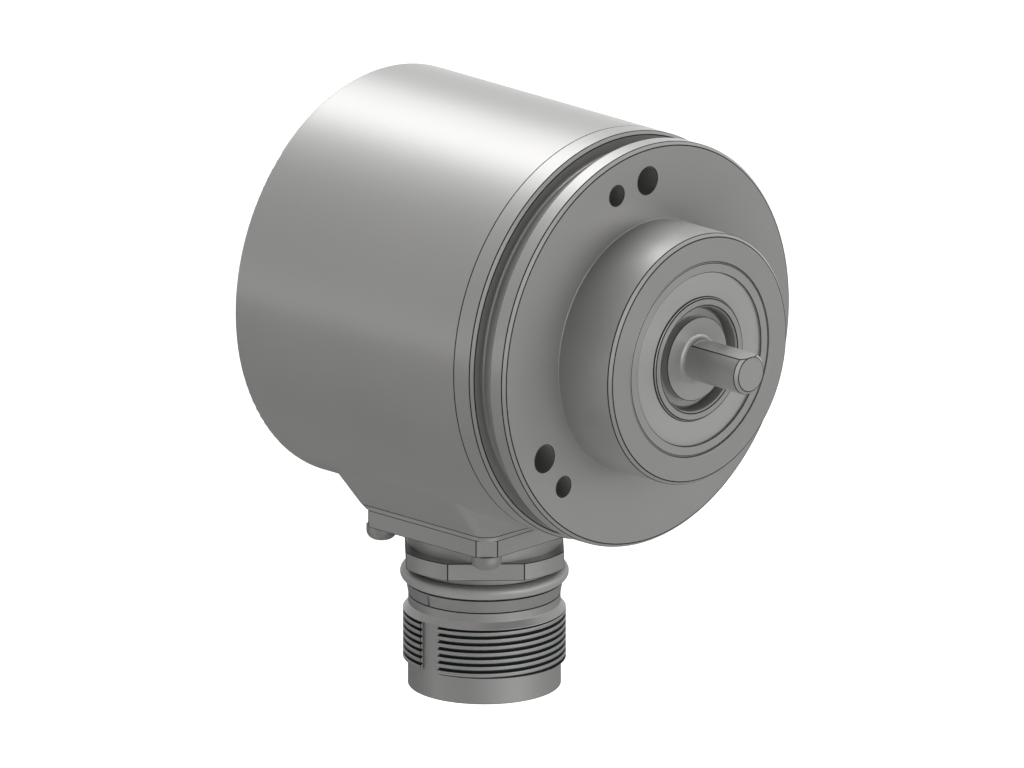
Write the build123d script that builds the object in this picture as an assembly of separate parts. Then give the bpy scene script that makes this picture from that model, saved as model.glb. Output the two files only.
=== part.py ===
from build123d import *
from build123d.topology import SkipClean
from math import cos, pi, radians, sin, sqrt, tan
import os

# Absolute rotary encoder with a clamping flange, a solid shaft and a side connector.
# Frame: the origin is the centre of the flange's mounting face. +X runs out along the
# shaft, +Z is up, and the connector points to -Z. All sizes are in millimetres.

# Flange
housing_d = 58.5
rim_step = 0.25
groove_floor_d = 54.0
rim_length = 2.75
groove_width = 3.25
band_length = 3.5
edge_chamfer = 0.5
groove_corner_radius = 0.4
spigot_d = 36.0
spigot_length = 10.0
register_length = 4.5
bore_shoulder = 1.25

# Threaded holes of the mounting face
bolt_circle_d = 48.0
bolt_count = 3
m4_hole_d = 4.0
m4_hole_depth = 8.0
m3_hole_d = 3.0
m3_hole_depth = 6.0
m3_angle = -15.0

# Cover
cover_length = 42.5
cover_wall = 2.0
rear_wall = 3.0
rear_edge_radius = 0.5
lead_in = 0.4
register_clearance = 0.05
cover_seal_section = 1.3
cover_seal_groove_width = 1.7
cover_seal_setback = 1.4

# Connector boss on the cover
connector_rear_distance = 20.4
boss_height = 1.25
boss_edge_height = 0.6
boss_side_reach = 4.72
boss_overlap = 0.7
boss_rear_step = 1.05
boss_rear_draft_angle = 8.0
boss_corner_radius = 2.6
boss_root_radius = 2.0

# Ball bearings
front_bore_d = 15.0
front_outer_d = 28.0
front_width = 7.0
front_ball_d = 3.5
rear_bore_d = 12.0
rear_outer_d = 24.0
rear_width = 6.0
rear_ball_d = 3.0
ball_count = 11
ring_bevel = 0.25
land_height = 0.6
outer_seal_step = 0.27
inner_seal_step = 0.6
seal_thickness = 0.8
seal_recess = 0.35
race_clearance = 0.04
seal_running_gap = 0.05
cage_wall = 0.35
cage_horn = 0.6
cage_side_gap = 0.35
pocket_clearance = 0.06
fit_clearance = 0.01
preload_space = 1.0
preload_strip = 0.3
preload_waves = 3

# Shaft
shaft_d = 6.0
shaft_length = 20.0
shaft_tip_chamfer = 0.5
shaft_root_radius = 0.6
flat_depth = 0.5
flat_setback = 0.7
nose_d = 12.0
nose_length = 1.3
journal_recess = 1.7
journal_chamfer = 0.5
collar_height = 1.2
collar_length = 2.5
rear_shoulder_height = 1.3
journal_overhang = 2.0
retaining_ring_thickness = 1.0
retaining_groove_depth = 0.25
retaining_ring_play = 0.05
retaining_ring_height = 1.3
retaining_gap_angle = 40.0
retaining_ring_shift = 0.2
retaining_lug_d = 2.6
retaining_lug_hole_d = 1.0

# Code disc and its hub
hub_seat_d = 8.0
hub_wall = 1.0
hub_rim_d = 16.0
hub_rim_length = 2.5
disc_thickness = 1.2
clamp_thickness = 1.3
disc_bore_clearance = 0.02
disc_edge_gap = 1.1
hub_end_wall = 1.0
hub_screw_d = 2.5
hub_screw_head_d = 4.6
hub_screw_head_height = 1.4
hub_screw_length = 6.0
hex_socket_depth = 0.8
hub_screw_socket_d = 2.0

# Scanning head
scan_edge_distance = 3.9
scan_width = 10.0
reticle_height = 7.0
reticle_thickness = 1.5
scan_gap = 0.6
light_carrier_height = 6.4
light_carrier_corner = 1.0
light_gap = 0.6
light_d = 3.8
light_lens_radius = 1.4
light_clearance = 0.1
light_recess = 0.5

# Circuit boards and their pillars
board_thickness = 1.6
board_edge_gap = 1.45
board_gap = 0.8
pillar_flats = 5.0
pillar_edge_distance = 2.3
pillar_angle = 30.0
pillar_thread_d = 3.0
pillar_thread_depth = 4.0
thread_clearance = 0.05
board_hole_clearance = 0.1
link_width = 12.0
link_height = 2.5
link_base_depth = 2.5
link_pin_side = 0.6
link_pin_count = 6
link_offset = 9.0
chip_side = 10.0
chip_thickness = 1.4
driver_length = 6.0
driver_width = 4.0
driver_spacing = 8.0
cover_screw_head_d = 5.6
cover_screw_head_height = 1.65
cover_screw_length = 5.0
cover_screw_socket_d = 2.0

# Connector
plate_side = 25.1
plate_thickness = 2.5
plate_corner = 2.15
connector_screw_spacing = 20.3
connector_screw_d = 2.5
connector_screw_length = 4.0
connector_head_d = 4.3
connector_head_height = 2.1
connector_head_radius = 1.3
connector_socket_d = 1.6
shell_spigot_d = 16.8
shell_spigot_length = 4.0
shell_spigot_clearance = 0.1
shell_seal_d = 20.2
shell_seal_section = 0.9
shell_seal_groove_width = 1.2
neck_d = 22.07
neck_length = 2.5
hexagon_flats = 19.1
hexagon_length = 2.9
hexagon_angle = -15.0
ring_seat_d = 19.6
ring_seat_length = 2.9
ring_collar_d = 21.2
ring_collar_length = 0.4
shell_ring_section = 2.0
snap_ring_top_d = 20.3
snap_ring_bottom_d = 21.3
snap_ring_length = 1.6
snap_ring_wall = 0.9
snap_ring_slit = 0.25
snap_ring_angle = -3.0
snap_ring_clearance = 0.05
sleeve_length = 1.1
thread_d = 23.0
thread_length = 8.35
thread_lead_in = 1.3
key_slot_width = 3.2
end_sleeve_d = 21.4
end_sleeve_length = 3.85
socket_d = 18.2
socket_depth = 10.2
insert_d = 15.1
insert_flange_length = 1.0
insert_clearance = 0.05
insert_setback = 1.0
contact_d = 1.0
contact_recess = 4.3
contact_tail = 0.5
outer_contact_circle_d = 11.4
outer_contact_count = 9
inner_contact_circle_d = 4.8
inner_contact_count = 3
terminal_board_d = 14.4
terminal_board_thickness = 0.8
flex_width = 4.6
flex_thickness = 0.3
flex_inset = 0.4
flex_bow = 0.9
flex_rise = 5.7
flex_socket_width = 7.0
flex_socket_height = 3.0
flex_board_gap = 2.25
flex_socket_cover = 0.75

# Places worked out from the sizes
housing_r = housing_d / 2
rim_r = housing_r - rim_step
spigot_r = spigot_d / 2
bolt_circle_r = bolt_circle_d / 2
x_groove_front = -rim_length
x_groove_rear = x_groove_front - groove_width
x_joint = x_groove_rear - band_length
x_register = x_joint - register_length
x_cover_rear = x_joint - cover_length
x_cover_floor = x_cover_rear + rear_wall
cover_inner_r = housing_r - cover_wall
register_r = cover_inner_r - register_clearance
x_front_bearing = spigot_length - front_width
x_rear_bearing = x_register
x_rear_shoulder = x_rear_bearing + rear_width + preload_space
front_outer_r = front_outer_d / 2
rear_outer_r = rear_outer_d / 2
front_bore_r = front_bore_d / 2
rear_bore_r = rear_bore_d / 2
x_cover_seal = x_joint - cover_seal_setback - cover_seal_groove_width / 2
cover_seal_floor_r = cover_inner_r - cover_seal_section

x_journal_end = x_register - journal_overhang
x_hub_rim_rear = x_journal_end - hub_rim_length
x_disc_rear = x_hub_rim_rear - disc_thickness
x_hub_rear = x_disc_rear - clamp_thickness
x_shaft_rear = x_hub_rear + hub_end_wall
x_hub_screw_rear = x_hub_rear - hub_screw_head_height
x_scan_board_front = x_hub_screw_rear - board_gap
x_scan_board_rear = x_scan_board_front - board_thickness
x_connector = x_cover_rear + connector_rear_distance
terminal_board_r = terminal_board_d / 2
x_flex = x_connector - terminal_board_r + flex_inset + flex_thickness / 2
x_main_board_front = x_flex - flex_board_gap
x_main_board_rear = x_main_board_front - board_thickness
board_r = cover_inner_r - board_edge_gap
pillar_circle_r = board_r - pillar_edge_distance
pillar_corner_r = pillar_flats / sqrt(3)
disc_r = pillar_circle_r - pillar_corner_r - disc_edge_gap
hub_nose_r = hub_seat_d / 2 + hub_wall
scan_r = disc_r - scan_edge_distance

z_seat = -(housing_r + boss_height)
z_plate = z_seat - plate_thickness
z_neck = z_plate - neck_length
z_hexagon = z_neck - hexagon_length
z_ring_seat = z_hexagon - ring_seat_length
z_snap_ring = z_ring_seat - snap_ring_length
z_sleeve = z_snap_ring - sleeve_length
z_thread = z_sleeve - thread_length
z_shell_end = z_thread - end_sleeve_length
z_socket_floor = z_shell_end + socket_depth
z_spigot_top = z_seat + shell_spigot_length
z_insert_top = z_spigot_top - insert_setback
z_terminal_top = z_insert_top + terminal_board_thickness
socket_r = socket_d / 2
end_sleeve_r = end_sleeve_d / 2
insert_r = insert_d / 2


def turned(points):
    """Solid turned about the shaft axis from an outline of (x, radius) points."""
    return revolve(make_face(Polyline(*points, close=True)), Axis.X)


def sleeve(x_rear, x_front, inner_r, outer_r):
    """Plain ring about the shaft axis."""
    return turned([(x_rear, inner_r), (x_front, inner_r), (x_front, outer_r), (x_rear, outer_r)])


def rod(x_rear, x_front, radius):
    """Plain cylinder on the shaft axis."""
    return turned([(x_rear, 0), (x_front, 0), (x_front, radius), (x_rear, radius)])


def upright(points):
    """Solid turned about the connector axis from an outline of (radius, z) points."""
    outline = Plane.XZ * make_face(Polyline(*points, close=True))
    return Pos(x_connector, 0, 0) * revolve(outline, Axis.Z)


def upright_rod(z_low, z_high, radius):
    """Plain cylinder on the connector axis."""
    return upright([(0, z_low), (radius, z_low), (radius, z_high), (0, z_high)])


def block(x_rear, x_front, y_low, y_high, z_low, z_high):
    """Box between two corners."""
    size = (x_front - x_rear, y_high - y_low, z_high - z_low)
    middle = ((x_front + x_rear) / 2, (y_high + y_low) / 2, (z_high + z_low) / 2)
    return Pos(*middle) * Box(*size)


def around_shaft(circle_r, count, turn=0.0):
    """Places on a circle about the shaft axis, counted from +Z towards +Y."""
    places = []
    for index in range(count):
        places.append(Rot(-turn - 360 / count * index, 0, 0) * Pos(0, 0, circle_r))
    return places


def around_connector(circle_r, count):
    """Places on a circle about the connector axis."""
    places = []
    for index in range(count):
        angle = radians(360 / count * index + 180 / count)
        places.append(Pos(circle_r * cos(angle), circle_r * sin(angle), 0))
    return places


def group(solids):
    """Several separate solids of one node."""
    return Compound(children=list(solids))


def flange_body():
    rear_seat_r = rear_outer_r + fit_clearance
    front_seat_r = front_outer_r + fit_clearance
    shoulder_r = rear_outer_r - bore_shoulder
    floor_r = groove_floor_d / 2
    half_groove = cover_seal_groove_width / 2
    body = turned([
        (spigot_length, front_seat_r),
        (spigot_length, spigot_r - edge_chamfer),
        (spigot_length - edge_chamfer, spigot_r),
        (0, spigot_r),
        (0, rim_r - edge_chamfer),
        (-edge_chamfer, rim_r),
        (x_groove_front, rim_r),
        (x_groove_front, floor_r),
        (x_groove_rear, floor_r),
        (x_groove_rear, housing_r - edge_chamfer),
        (x_groove_rear - edge_chamfer, housing_r),
        (x_joint, housing_r),
        (x_joint, register_r),
        (x_cover_seal + half_groove, register_r),
        (x_cover_seal + half_groove, cover_seal_floor_r),
        (x_cover_seal - half_groove, cover_seal_floor_r),
        (x_cover_seal - half_groove, register_r),
        (x_register + lead_in, register_r),
        (x_register, register_r - lead_in),
        (x_register, rear_seat_r),
        (x_rear_shoulder, rear_seat_r),
        (x_rear_shoulder, shoulder_r),
        (x_front_bearing, shoulder_r),
        (x_front_bearing, front_seat_r),
    ])
    corners = body.edges().filter_by(GeomType.CIRCLE).filter_by(
        lambda edge: abs(edge.radius - floor_r) < 1e-6)
    body = fillet(corners, groove_corner_radius)
    m4_drill = rod(-m4_hole_depth, edge_chamfer, m4_hole_d / 2)
    m3_drill = rod(-m3_hole_depth, edge_chamfer, m3_hole_d / 2)
    rear_drill = rod(x_register - lead_in, x_register + pillar_thread_depth, pillar_thread_d / 2)
    body -= [place * m4_drill for place in around_shaft(bolt_circle_r, bolt_count)]
    body -= [place * m3_drill for place in around_shaft(bolt_circle_r, bolt_count, m3_angle)]
    body -= [place * rear_drill for place in around_shaft(pillar_circle_r, bolt_count, pillar_angle)]
    return body


def boss_outline(spread_y, spread_rear, z):
    """Rounded rectangle of the connector boss at one height."""
    half = plate_side / 2
    length = plate_side + spread_rear
    outline = RectangleRounded(length, plate_side + 2 * spread_y, boss_corner_radius)
    return Pos(x_connector + half - length / 2, 0, z) * outline


def connector_boss():
    """Seat of the connector, with sides that slope until they meet the can."""
    z_edge = z_seat + boss_edge_height
    z_meet = -sqrt(housing_r ** 2 - (plate_side / 2 + boss_side_reach) ** 2)
    height = z_meet - z_edge + boss_overlap
    side_spread = boss_side_reach * height / (z_meet - z_edge)
    rear_spread = height * tan(radians(boss_rear_draft_angle))
    seat = boss_outline(0, 0, z_seat)
    edge = boss_outline(0, boss_rear_step, z_edge)
    top = boss_outline(side_spread, boss_rear_step + rear_spread, z_edge + height)
    return loft([seat, edge], ruled=True) + loft([edge, top], ruled=True)


def housing_cover():
    can = rod(x_cover_rear, x_joint, housing_r)
    can = fillet(can.edges().filter_by(GeomType.CIRCLE).sort_by(Axis.X)[0], rear_edge_radius)
    body = can + connector_boss()
    root = [edge for edge in body.edges() if lies_on_can(edge)]
    body = fillet(root, boss_root_radius)
    body -= turned([
        (x_cover_floor, 0),
        (x_cover_floor, cover_inner_r),
        (x_joint - lead_in, cover_inner_r),
        (x_joint, cover_inner_r + lead_in),
        (x_joint, 0),
    ])
    body -= upright_rod(z_seat, 0, shell_spigot_d / 2 + shell_spigot_clearance)
    groove_r = shell_seal_d / 2
    half_groove = shell_seal_groove_width / 2
    body -= upright([
        (groove_r - half_groove, z_seat),
        (groove_r + half_groove, z_seat),
        (groove_r + half_groove, z_seat + shell_seal_section),
        (groove_r - half_groove, z_seat + shell_seal_section),
    ])
    screw_hole = upright_rod(z_seat, z_seat + connector_screw_length + thread_clearance,
                             connector_screw_d / 2 + thread_clearance)
    body -= [place * screw_hole for place in connector_corners()]
    countersink = cover_screw_form(thread_clearance)
    body -= [place * countersink for place in around_shaft(pillar_circle_r, bolt_count, pillar_angle)]
    return body


def lies_on_can(edge):
    """Whether an edge is where the boss meets the round can."""
    points = [edge.position_at(share) for share in (0.1, 0.5, 0.9)]
    on_can = all(abs(sqrt(point.Y ** 2 + point.Z ** 2) - housing_r) < 1e-3 for point in points)
    return on_can and x_cover_rear + edge_chamfer < points[1].X < x_joint - edge_chamfer \
        and abs(points[0].Y - points[2].Y) + abs(points[0].Z - points[2].Z) > 1e-3


def cover_seal():
    middle_r = cover_inner_r - cover_seal_section / 2
    section = Pos(x_cover_seal, middle_r) * Circle(cover_seal_section / 2)
    return revolve(section, Axis.X)


def cover_screw_form(clearance):
    """Countersunk screw through the cover's rear wall, or its hole when given a clearance."""
    head_r = cover_screw_head_d / 2 + clearance
    thread_r = pillar_thread_d / 2 - thread_clearance + clearance
    x_neck = x_cover_rear + cover_screw_head_height + clearance
    x_tip = x_cover_floor + cover_screw_length
    return turned([
        (x_cover_rear, 0),
        (x_cover_rear, head_r),
        (x_neck, thread_r),
        (x_tip, thread_r),
        (x_tip, 0),
    ])


def cover_screws():
    socket = rod(x_cover_rear, x_cover_rear + hex_socket_depth, cover_screw_socket_d / 2)
    screw = cover_screw_form(0) - socket
    return group(place * screw for place in around_shaft(pillar_circle_r, bolt_count, pillar_angle))


class Bearing:
    """Deep-groove ball bearing about the shaft axis, with its rear face at a given place."""

    def __init__(self, x_rear, bore_d, outer_d, width, ball_d):
        self.x_rear = x_rear
        self.x_front = x_rear + width
        self.x_middle = x_rear + width / 2
        self.bore_r = bore_d / 2
        self.outer_r = outer_d / 2
        self.ball_r = ball_d / 2
        self.pitch_r = (self.bore_r + self.outer_r) / 2
        self.groove_r = self.ball_r + race_clearance
        self.outer_land_r = self.pitch_r + self.ball_r - land_height / 2 - race_clearance
        self.inner_land_r = self.pitch_r - self.ball_r + land_height
        self.outer_seat_r = self.outer_land_r + outer_seal_step
        self.inner_step_r = self.inner_land_r - inner_seal_step - seal_running_gap

    def groove(self):
        section = Pos(self.x_middle, self.pitch_r) * Circle(self.groove_r)
        return revolve(section, Axis.X)

    def outer_ring(self):
        seal_end = seal_recess + seal_thickness
        ring = turned([
            (self.x_rear, self.outer_seat_r),
            (self.x_rear + seal_end, self.outer_seat_r),
            (self.x_rear + seal_end, self.outer_land_r),
            (self.x_front - seal_end, self.outer_land_r),
            (self.x_front - seal_end, self.outer_seat_r),
            (self.x_front, self.outer_seat_r),
            (self.x_front, self.outer_r - ring_bevel),
            (self.x_front - ring_bevel, self.outer_r),
            (self.x_rear + ring_bevel, self.outer_r),
            (self.x_rear, self.outer_r - ring_bevel),
        ])
        return ring - self.groove()

    def inner_ring(self):
        seal_end = seal_recess + seal_thickness
        ring = turned([
            (self.x_rear, self.bore_r + ring_bevel),
            (self.x_rear + ring_bevel, self.bore_r),
            (self.x_front - ring_bevel, self.bore_r),
            (self.x_front, self.bore_r + ring_bevel),
            (self.x_front, self.inner_step_r - ring_bevel),
            (self.x_front - ring_bevel, self.inner_step_r),
            (self.x_front - seal_end, self.inner_step_r),
            (self.x_front - seal_end, self.inner_land_r),
            (self.x_rear + seal_end, self.inner_land_r),
            (self.x_rear + seal_end, self.inner_step_r),
            (self.x_rear + ring_bevel, self.inner_step_r),
            (self.x_rear, self.inner_step_r - ring_bevel),
        ])
        return ring - self.groove()

    def seals(self):
        inner_r = self.inner_step_r + seal_running_gap
        x_low = self.x_rear + seal_recess
        x_high = self.x_front - seal_recess - seal_thickness
        return group(
            sleeve(x, x + seal_thickness, inner_r, self.outer_seat_r) for x in (x_low, x_high)
        )

    def balls(self):
        ball = Pos(self.x_middle, 0, 0) * Sphere(self.ball_r)
        return group(place * ball for place in around_shaft(self.pitch_r, ball_count))

    def cage(self):
        x_low = self.x_middle - self.ball_r - cage_wall
        x_high = self.x_middle + cage_horn
        inner_r = self.inner_land_r + cage_side_gap
        outer_r = self.outer_land_r - cage_side_gap
        pocket = Pos(self.x_middle, 0, 0) * Sphere(self.ball_r + pocket_clearance)
        ring = sleeve(x_low, x_high, inner_r, outer_r)
        for place in around_shaft(self.pitch_r, ball_count):
            ring -= place * pocket
        return ring


front_bearing = Bearing(x_front_bearing, front_bore_d, front_outer_d, front_width, front_ball_d)
rear_bearing = Bearing(x_rear_bearing, rear_bore_d, rear_outer_d, rear_width, rear_ball_d)


def preload_washer():
    """Wave washer between the flange's shoulder and the rear bearing's outer ring."""
    inner_r = rear_outer_r - bore_shoulder + fit_clearance
    outer_r = rear_outer_r - fit_clearance
    swing = (preload_space - preload_strip) / 2
    x_middle = x_rear_shoulder - preload_space / 2 - preload_strip / 2
    points_per_wave = 8
    count = preload_waves * points_per_wave
    rims = []
    for radius in (inner_r, outer_r):
        points = []
        for index in range(count):
            angle = 2 * pi * index / count
            x = x_middle + swing * sin(preload_waves * angle)
            points.append((x, radius * sin(angle), radius * cos(angle)))
        rims.append(Edge.make_spline(points, periodic=True))
    face = Face.make_surface_from_curves(rims[0], rims[1])
    return thicken(face, preload_strip)


def shaft():
    """Encoder shaft; its flatted drive end keeps a face of its own beyond the round part."""
    journal_r = front_bore_r - fit_clearance
    rear_journal_r = rear_bore_r - fit_clearance
    collar_r = front_bore_r + collar_height
    shoulder_r = rear_bore_r + rear_shoulder_height
    stub_r = shaft_d / 2
    x_journal_front = spigot_length - journal_recess
    x_nose = x_journal_front + nose_length
    x_flat = x_nose + flat_setback
    x_collar_rear = x_front_bearing - collar_length
    x_rear_inner_front = x_rear_bearing + rear_width
    seat_r = hub_seat_d / 2 - fit_clearance
    x_ring_front = x_register - retaining_ring_play
    x_ring_rear = x_ring_front - retaining_ring_thickness - retaining_ring_play
    ring_floor_r = rear_bore_r - retaining_groove_depth
    body = turned([
        (x_shaft_rear, 0),
        (x_shaft_rear, seat_r - ring_bevel),
        (x_shaft_rear + ring_bevel, seat_r),
        (x_journal_end, seat_r),
        (x_journal_end, rear_journal_r - ring_bevel),
        (x_journal_end + ring_bevel, rear_journal_r),
        (x_ring_rear, rear_journal_r),
        (x_ring_rear, ring_floor_r),
        (x_ring_front, ring_floor_r),
        (x_ring_front, rear_journal_r),
        (x_rear_inner_front, rear_journal_r),
        (x_rear_inner_front, shoulder_r),
        (x_collar_rear, shoulder_r),
        (x_collar_rear, collar_r),
        (x_front_bearing, collar_r),
        (x_front_bearing, journal_r),
        (x_journal_front - journal_chamfer, journal_r),
        (x_journal_front, journal_r - journal_chamfer),
        (x_journal_front, nose_d / 2),
        (x_nose, nose_d / 2),
        (x_nose, stub_r),
        (x_flat, stub_r),
        (x_flat, 0),
    ])
    root = body.edges().filter_by(GeomType.CIRCLE).filter_by(
        lambda edge: abs(edge.radius - stub_r) < 1e-6).sort_by(Axis.X)[0]
    body = fillet(root, shaft_root_radius)
    x_drill = x_shaft_rear + hub_screw_length + thread_clearance
    body -= rod(x_shaft_rear, x_drill, hub_screw_d / 2 + thread_clearance)
    drive_end = turned([
        (x_flat, 0),
        (x_flat, stub_r),
        (shaft_length - shaft_tip_chamfer, stub_r),
        (shaft_length, stub_r - shaft_tip_chamfer),
        (shaft_length, 0),
    ])
    drive_end -= block(x_flat, shaft_length, -stub_r, stub_r, stub_r - flat_depth, stub_r)
    with SkipClean():
        return body + drive_end


def retaining_ring():
    """External retaining ring, thickest opposite its gap, with two drilled lugs."""
    inner_r = rear_bore_r - retaining_groove_depth
    outer_r = inner_r + retaining_ring_height
    x_front = x_register - retaining_ring_play
    half_gap = radians(retaining_gap_angle / 2)
    lug_r = inner_r + retaining_lug_d / 2
    lug_turn = half_gap + retaining_lug_d / 2 / lug_r
    lugs = [Pos(lug_r * sin(side * lug_turn), lug_r * cos(side * lug_turn)) for side in (-1, 1)]
    outline = Pos(0, -retaining_ring_shift) * Circle(outer_r)
    outline += [lug * Circle(retaining_lug_d / 2) for lug in lugs]
    outline -= Circle(inner_r)
    outline -= [lug * Circle(retaining_lug_hole_d / 2) for lug in lugs]
    reach = 2 * outer_r
    gap = make_face(Polyline(
        (0, 0), (reach * sin(half_gap), reach * cos(half_gap)),
        (-reach * sin(half_gap), reach * cos(half_gap)), close=True))
    outline -= gap
    across_shaft = Plane(origin=(x_front - retaining_ring_thickness, 0, 0), x_dir=(0, 1, 0), z_dir=(1, 0, 0))
    return extrude(across_shaft * outline, retaining_ring_thickness)


def disc_hub():
    bore_r = hub_seat_d / 2
    hub = turned([
        (x_journal_end, bore_r),
        (x_journal_end, hub_rim_d / 2),
        (x_hub_rim_rear, hub_rim_d / 2),
        (x_hub_rim_rear, hub_nose_r),
        (x_hub_rear, hub_nose_r),
        (x_hub_rear, hub_screw_d / 2 + thread_clearance),
        (x_shaft_rear, hub_screw_d / 2 + thread_clearance),
        (x_shaft_rear, bore_r),
    ])
    return hub


def code_disc():
    return sleeve(x_disc_rear, x_hub_rim_rear, hub_nose_r + disc_bore_clearance, disc_r)


def disc_clamp_ring():
    return sleeve(x_hub_rear, x_disc_rear, hub_nose_r + disc_bore_clearance, hub_rim_d / 2)


def hub_screw():
    thread_r = hub_screw_d / 2
    head_r = hub_screw_head_d / 2
    screw = turned([
        (x_hub_screw_rear, 0),
        (x_hub_screw_rear, head_r - ring_bevel),
        (x_hub_screw_rear + ring_bevel, head_r),
        (x_hub_rear, head_r),
        (x_hub_rear, thread_r),
        (x_shaft_rear + hub_screw_length, thread_r),
        (x_shaft_rear + hub_screw_length, 0),
    ])
    socket = rod(x_hub_screw_rear, x_hub_screw_rear + hex_socket_depth, hub_screw_socket_d / 2)
    return screw - socket


def light_carrier():
    x_rear = x_hub_rim_rear + light_gap
    half = scan_width / 2
    low = scan_r - light_carrier_height / 2
    body = block(x_rear, x_register, -half, half, low, scan_r + light_carrier_height / 2)
    body = fillet(body.edges().filter_by(Axis.X), light_carrier_corner)
    bore = rod(x_rear, x_register, light_d / 2 + light_clearance)
    return body - Pos(0, 0, scan_r) * bore


def light_source():
    x_rear = x_hub_rim_rear + light_gap + light_recess
    lamp = rod(x_rear, x_register, light_d / 2)
    lens_edge = lamp.edges().filter_by(GeomType.CIRCLE).sort_by(Axis.X)[0]
    return Pos(0, 0, scan_r) * fillet(lens_edge, light_lens_radius)


def scan_reticle():
    x_front = x_disc_rear - scan_gap
    half = scan_width / 2
    half_height = reticle_height / 2
    return block(x_front - reticle_thickness, x_front, -half, half,
                 scan_r - half_height, scan_r + half_height)


def scan_chip():
    x_front = x_disc_rear - scan_gap - reticle_thickness
    half = scan_width / 2 + flex_thickness
    half_height = reticle_height / 2 + flex_thickness
    return block(x_scan_board_front, x_front, -half, half,
                 scan_r - half_height, scan_r + half_height)


def board(x_rear, x_front):
    """Round circuit board with its three pillar holes."""
    hole = rod(x_rear, x_front, pillar_thread_d / 2 + board_hole_clearance)
    disc = rod(x_rear, x_front, board_r)
    return disc - [place * hole for place in around_shaft(pillar_circle_r, bolt_count, pillar_angle)]


def pillars(x_rear, x_front, stud_length):
    """Hexagonal pillars with a stud at the front and a threaded hole at the rear."""
    across_shaft = Plane(origin=(x_rear, 0, 0), x_dir=(0, 1, 0), z_dir=(1, 0, 0))
    column = extrude(across_shaft * RegularPolygon(pillar_corner_r, 6), x_front - x_rear)
    stud = rod(x_front, x_front + stud_length, pillar_thread_d / 2 - thread_clearance)
    hole = rod(x_rear, x_rear + cover_screw_length, pillar_thread_d / 2)
    pillar = column + stud - hole
    return group(place * pillar for place in around_shaft(pillar_circle_r, bolt_count, pillar_angle))


def front_pillars():
    return pillars(x_scan_board_front, x_register, pillar_thread_depth - thread_clearance)


def middle_pillars():
    stud_length = board_thickness + pillar_thread_depth - thread_clearance
    return pillars(x_main_board_front, x_scan_board_rear, stud_length)


def rear_pillars():
    stud_length = board_thickness + pillar_thread_depth - thread_clearance
    return pillars(x_cover_floor, x_main_board_rear, stud_length)


def board_link():
    """Stacking connector that joins the two boards."""
    half_width = link_width / 2
    low = link_offset
    high = low + link_height
    front = block(x_scan_board_rear - link_base_depth, x_scan_board_rear,
                  -half_width, half_width, low, high)
    rear = block(x_main_board_front, x_main_board_front + link_base_depth,
                 -half_width, half_width, low, high)
    pitch = link_width / link_pin_count
    half_pin = link_pin_side / 2
    middle = (low + high) / 2
    pins = []
    for index in range(link_pin_count):
        y = -half_width + pitch * (index + 0.5)
        pins.append(block(x_main_board_front, x_scan_board_rear,
                          y - half_pin, y + half_pin, middle - half_pin, middle + half_pin))
    return front + rear + pins


def board_chips():
    """Processor on the main board's rear face, with two drivers beside it."""
    half = chip_side / 2
    x_rear = x_main_board_rear - chip_thickness
    processor = block(x_rear, x_main_board_rear, -half, half, -half, half)
    drivers = []
    for side in (-1, 1):
        y = side * (half + driver_spacing / 2)
        drivers.append(block(x_rear, x_main_board_rear, y - driver_width / 2, y + driver_width / 2,
                             -driver_length / 2, driver_length / 2))
    return group([processor, *drivers])


def connector_corners():
    """The four screw places of the connector's plate."""
    half = connector_screw_spacing / 2
    return [Pos(side_x * half, side_y * half, 0) for side_x in (-1, 1) for side_y in (-1, 1)]


def connector_shell():
    plate_edge = chamfer(Rectangle(plate_side, plate_side).vertices(), plate_corner)
    plate = Pos(x_connector, 0, z_plate) * extrude(plate_edge, plate_thickness)
    neck = upright_rod(z_neck, z_plate, neck_d / 2)
    hexagon = RegularPolygon(hexagon_flats / sqrt(3), 6, rotation=hexagon_angle)
    nut = extrude(hexagon, hexagon_length) & Cylinder(
        neck_d / 2, hexagon_length, align=(Align.CENTER, Align.CENTER, Align.MIN))
    nut = Pos(x_connector, 0, z_hexagon) * nut
    spigot = upright_rod(z_seat, z_spigot_top, shell_spigot_d / 2)
    sleeve_r = snap_ring_bottom_d / 2
    snap_seat_r = sleeve_r - snap_ring_wall
    barrel = upright([
        (0, z_hexagon),
        (ring_collar_d / 2, z_hexagon),
        (ring_collar_d / 2, z_hexagon - ring_collar_length),
        (ring_seat_d / 2, z_hexagon - ring_collar_length),
        (ring_seat_d / 2, z_ring_seat),
        (snap_seat_r, z_ring_seat),
        (snap_seat_r, z_snap_ring),
        (sleeve_r, z_snap_ring),
        (sleeve_r, z_sleeve),
        (end_sleeve_r, z_thread),
        (end_sleeve_r, z_shell_end),
        (0, z_shell_end),
    ])
    thread_r = thread_d / 2
    thread = upright([
        (0, z_sleeve),
        (sleeve_r, z_sleeve),
        (thread_r, z_sleeve - thread_lead_in),
        (thread_r, z_thread),
        (0, z_thread),
    ])
    half_key = key_slot_width / 2
    key_slot = block(x_connector - half_key, x_connector + half_key, -thread_d, 0, z_thread, z_sleeve)
    key_slot -= upright_rod(z_thread, z_sleeve, end_sleeve_r)
    body = plate + neck + nut + spigot + barrel + (thread - key_slot)
    body -= upright([
        (0, z_shell_end),
        (socket_r + lead_in, z_shell_end),
        (socket_r, z_shell_end + lead_in),
        (socket_r, z_socket_floor),
        (insert_r + insert_clearance, z_socket_floor),
        (insert_r + insert_clearance, z_spigot_top),
        (0, z_spigot_top),
    ])
    hole = upright_rod(z_plate, z_seat, connector_screw_d / 2 + board_hole_clearance)
    return body - [place * hole for place in connector_corners()]


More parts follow.
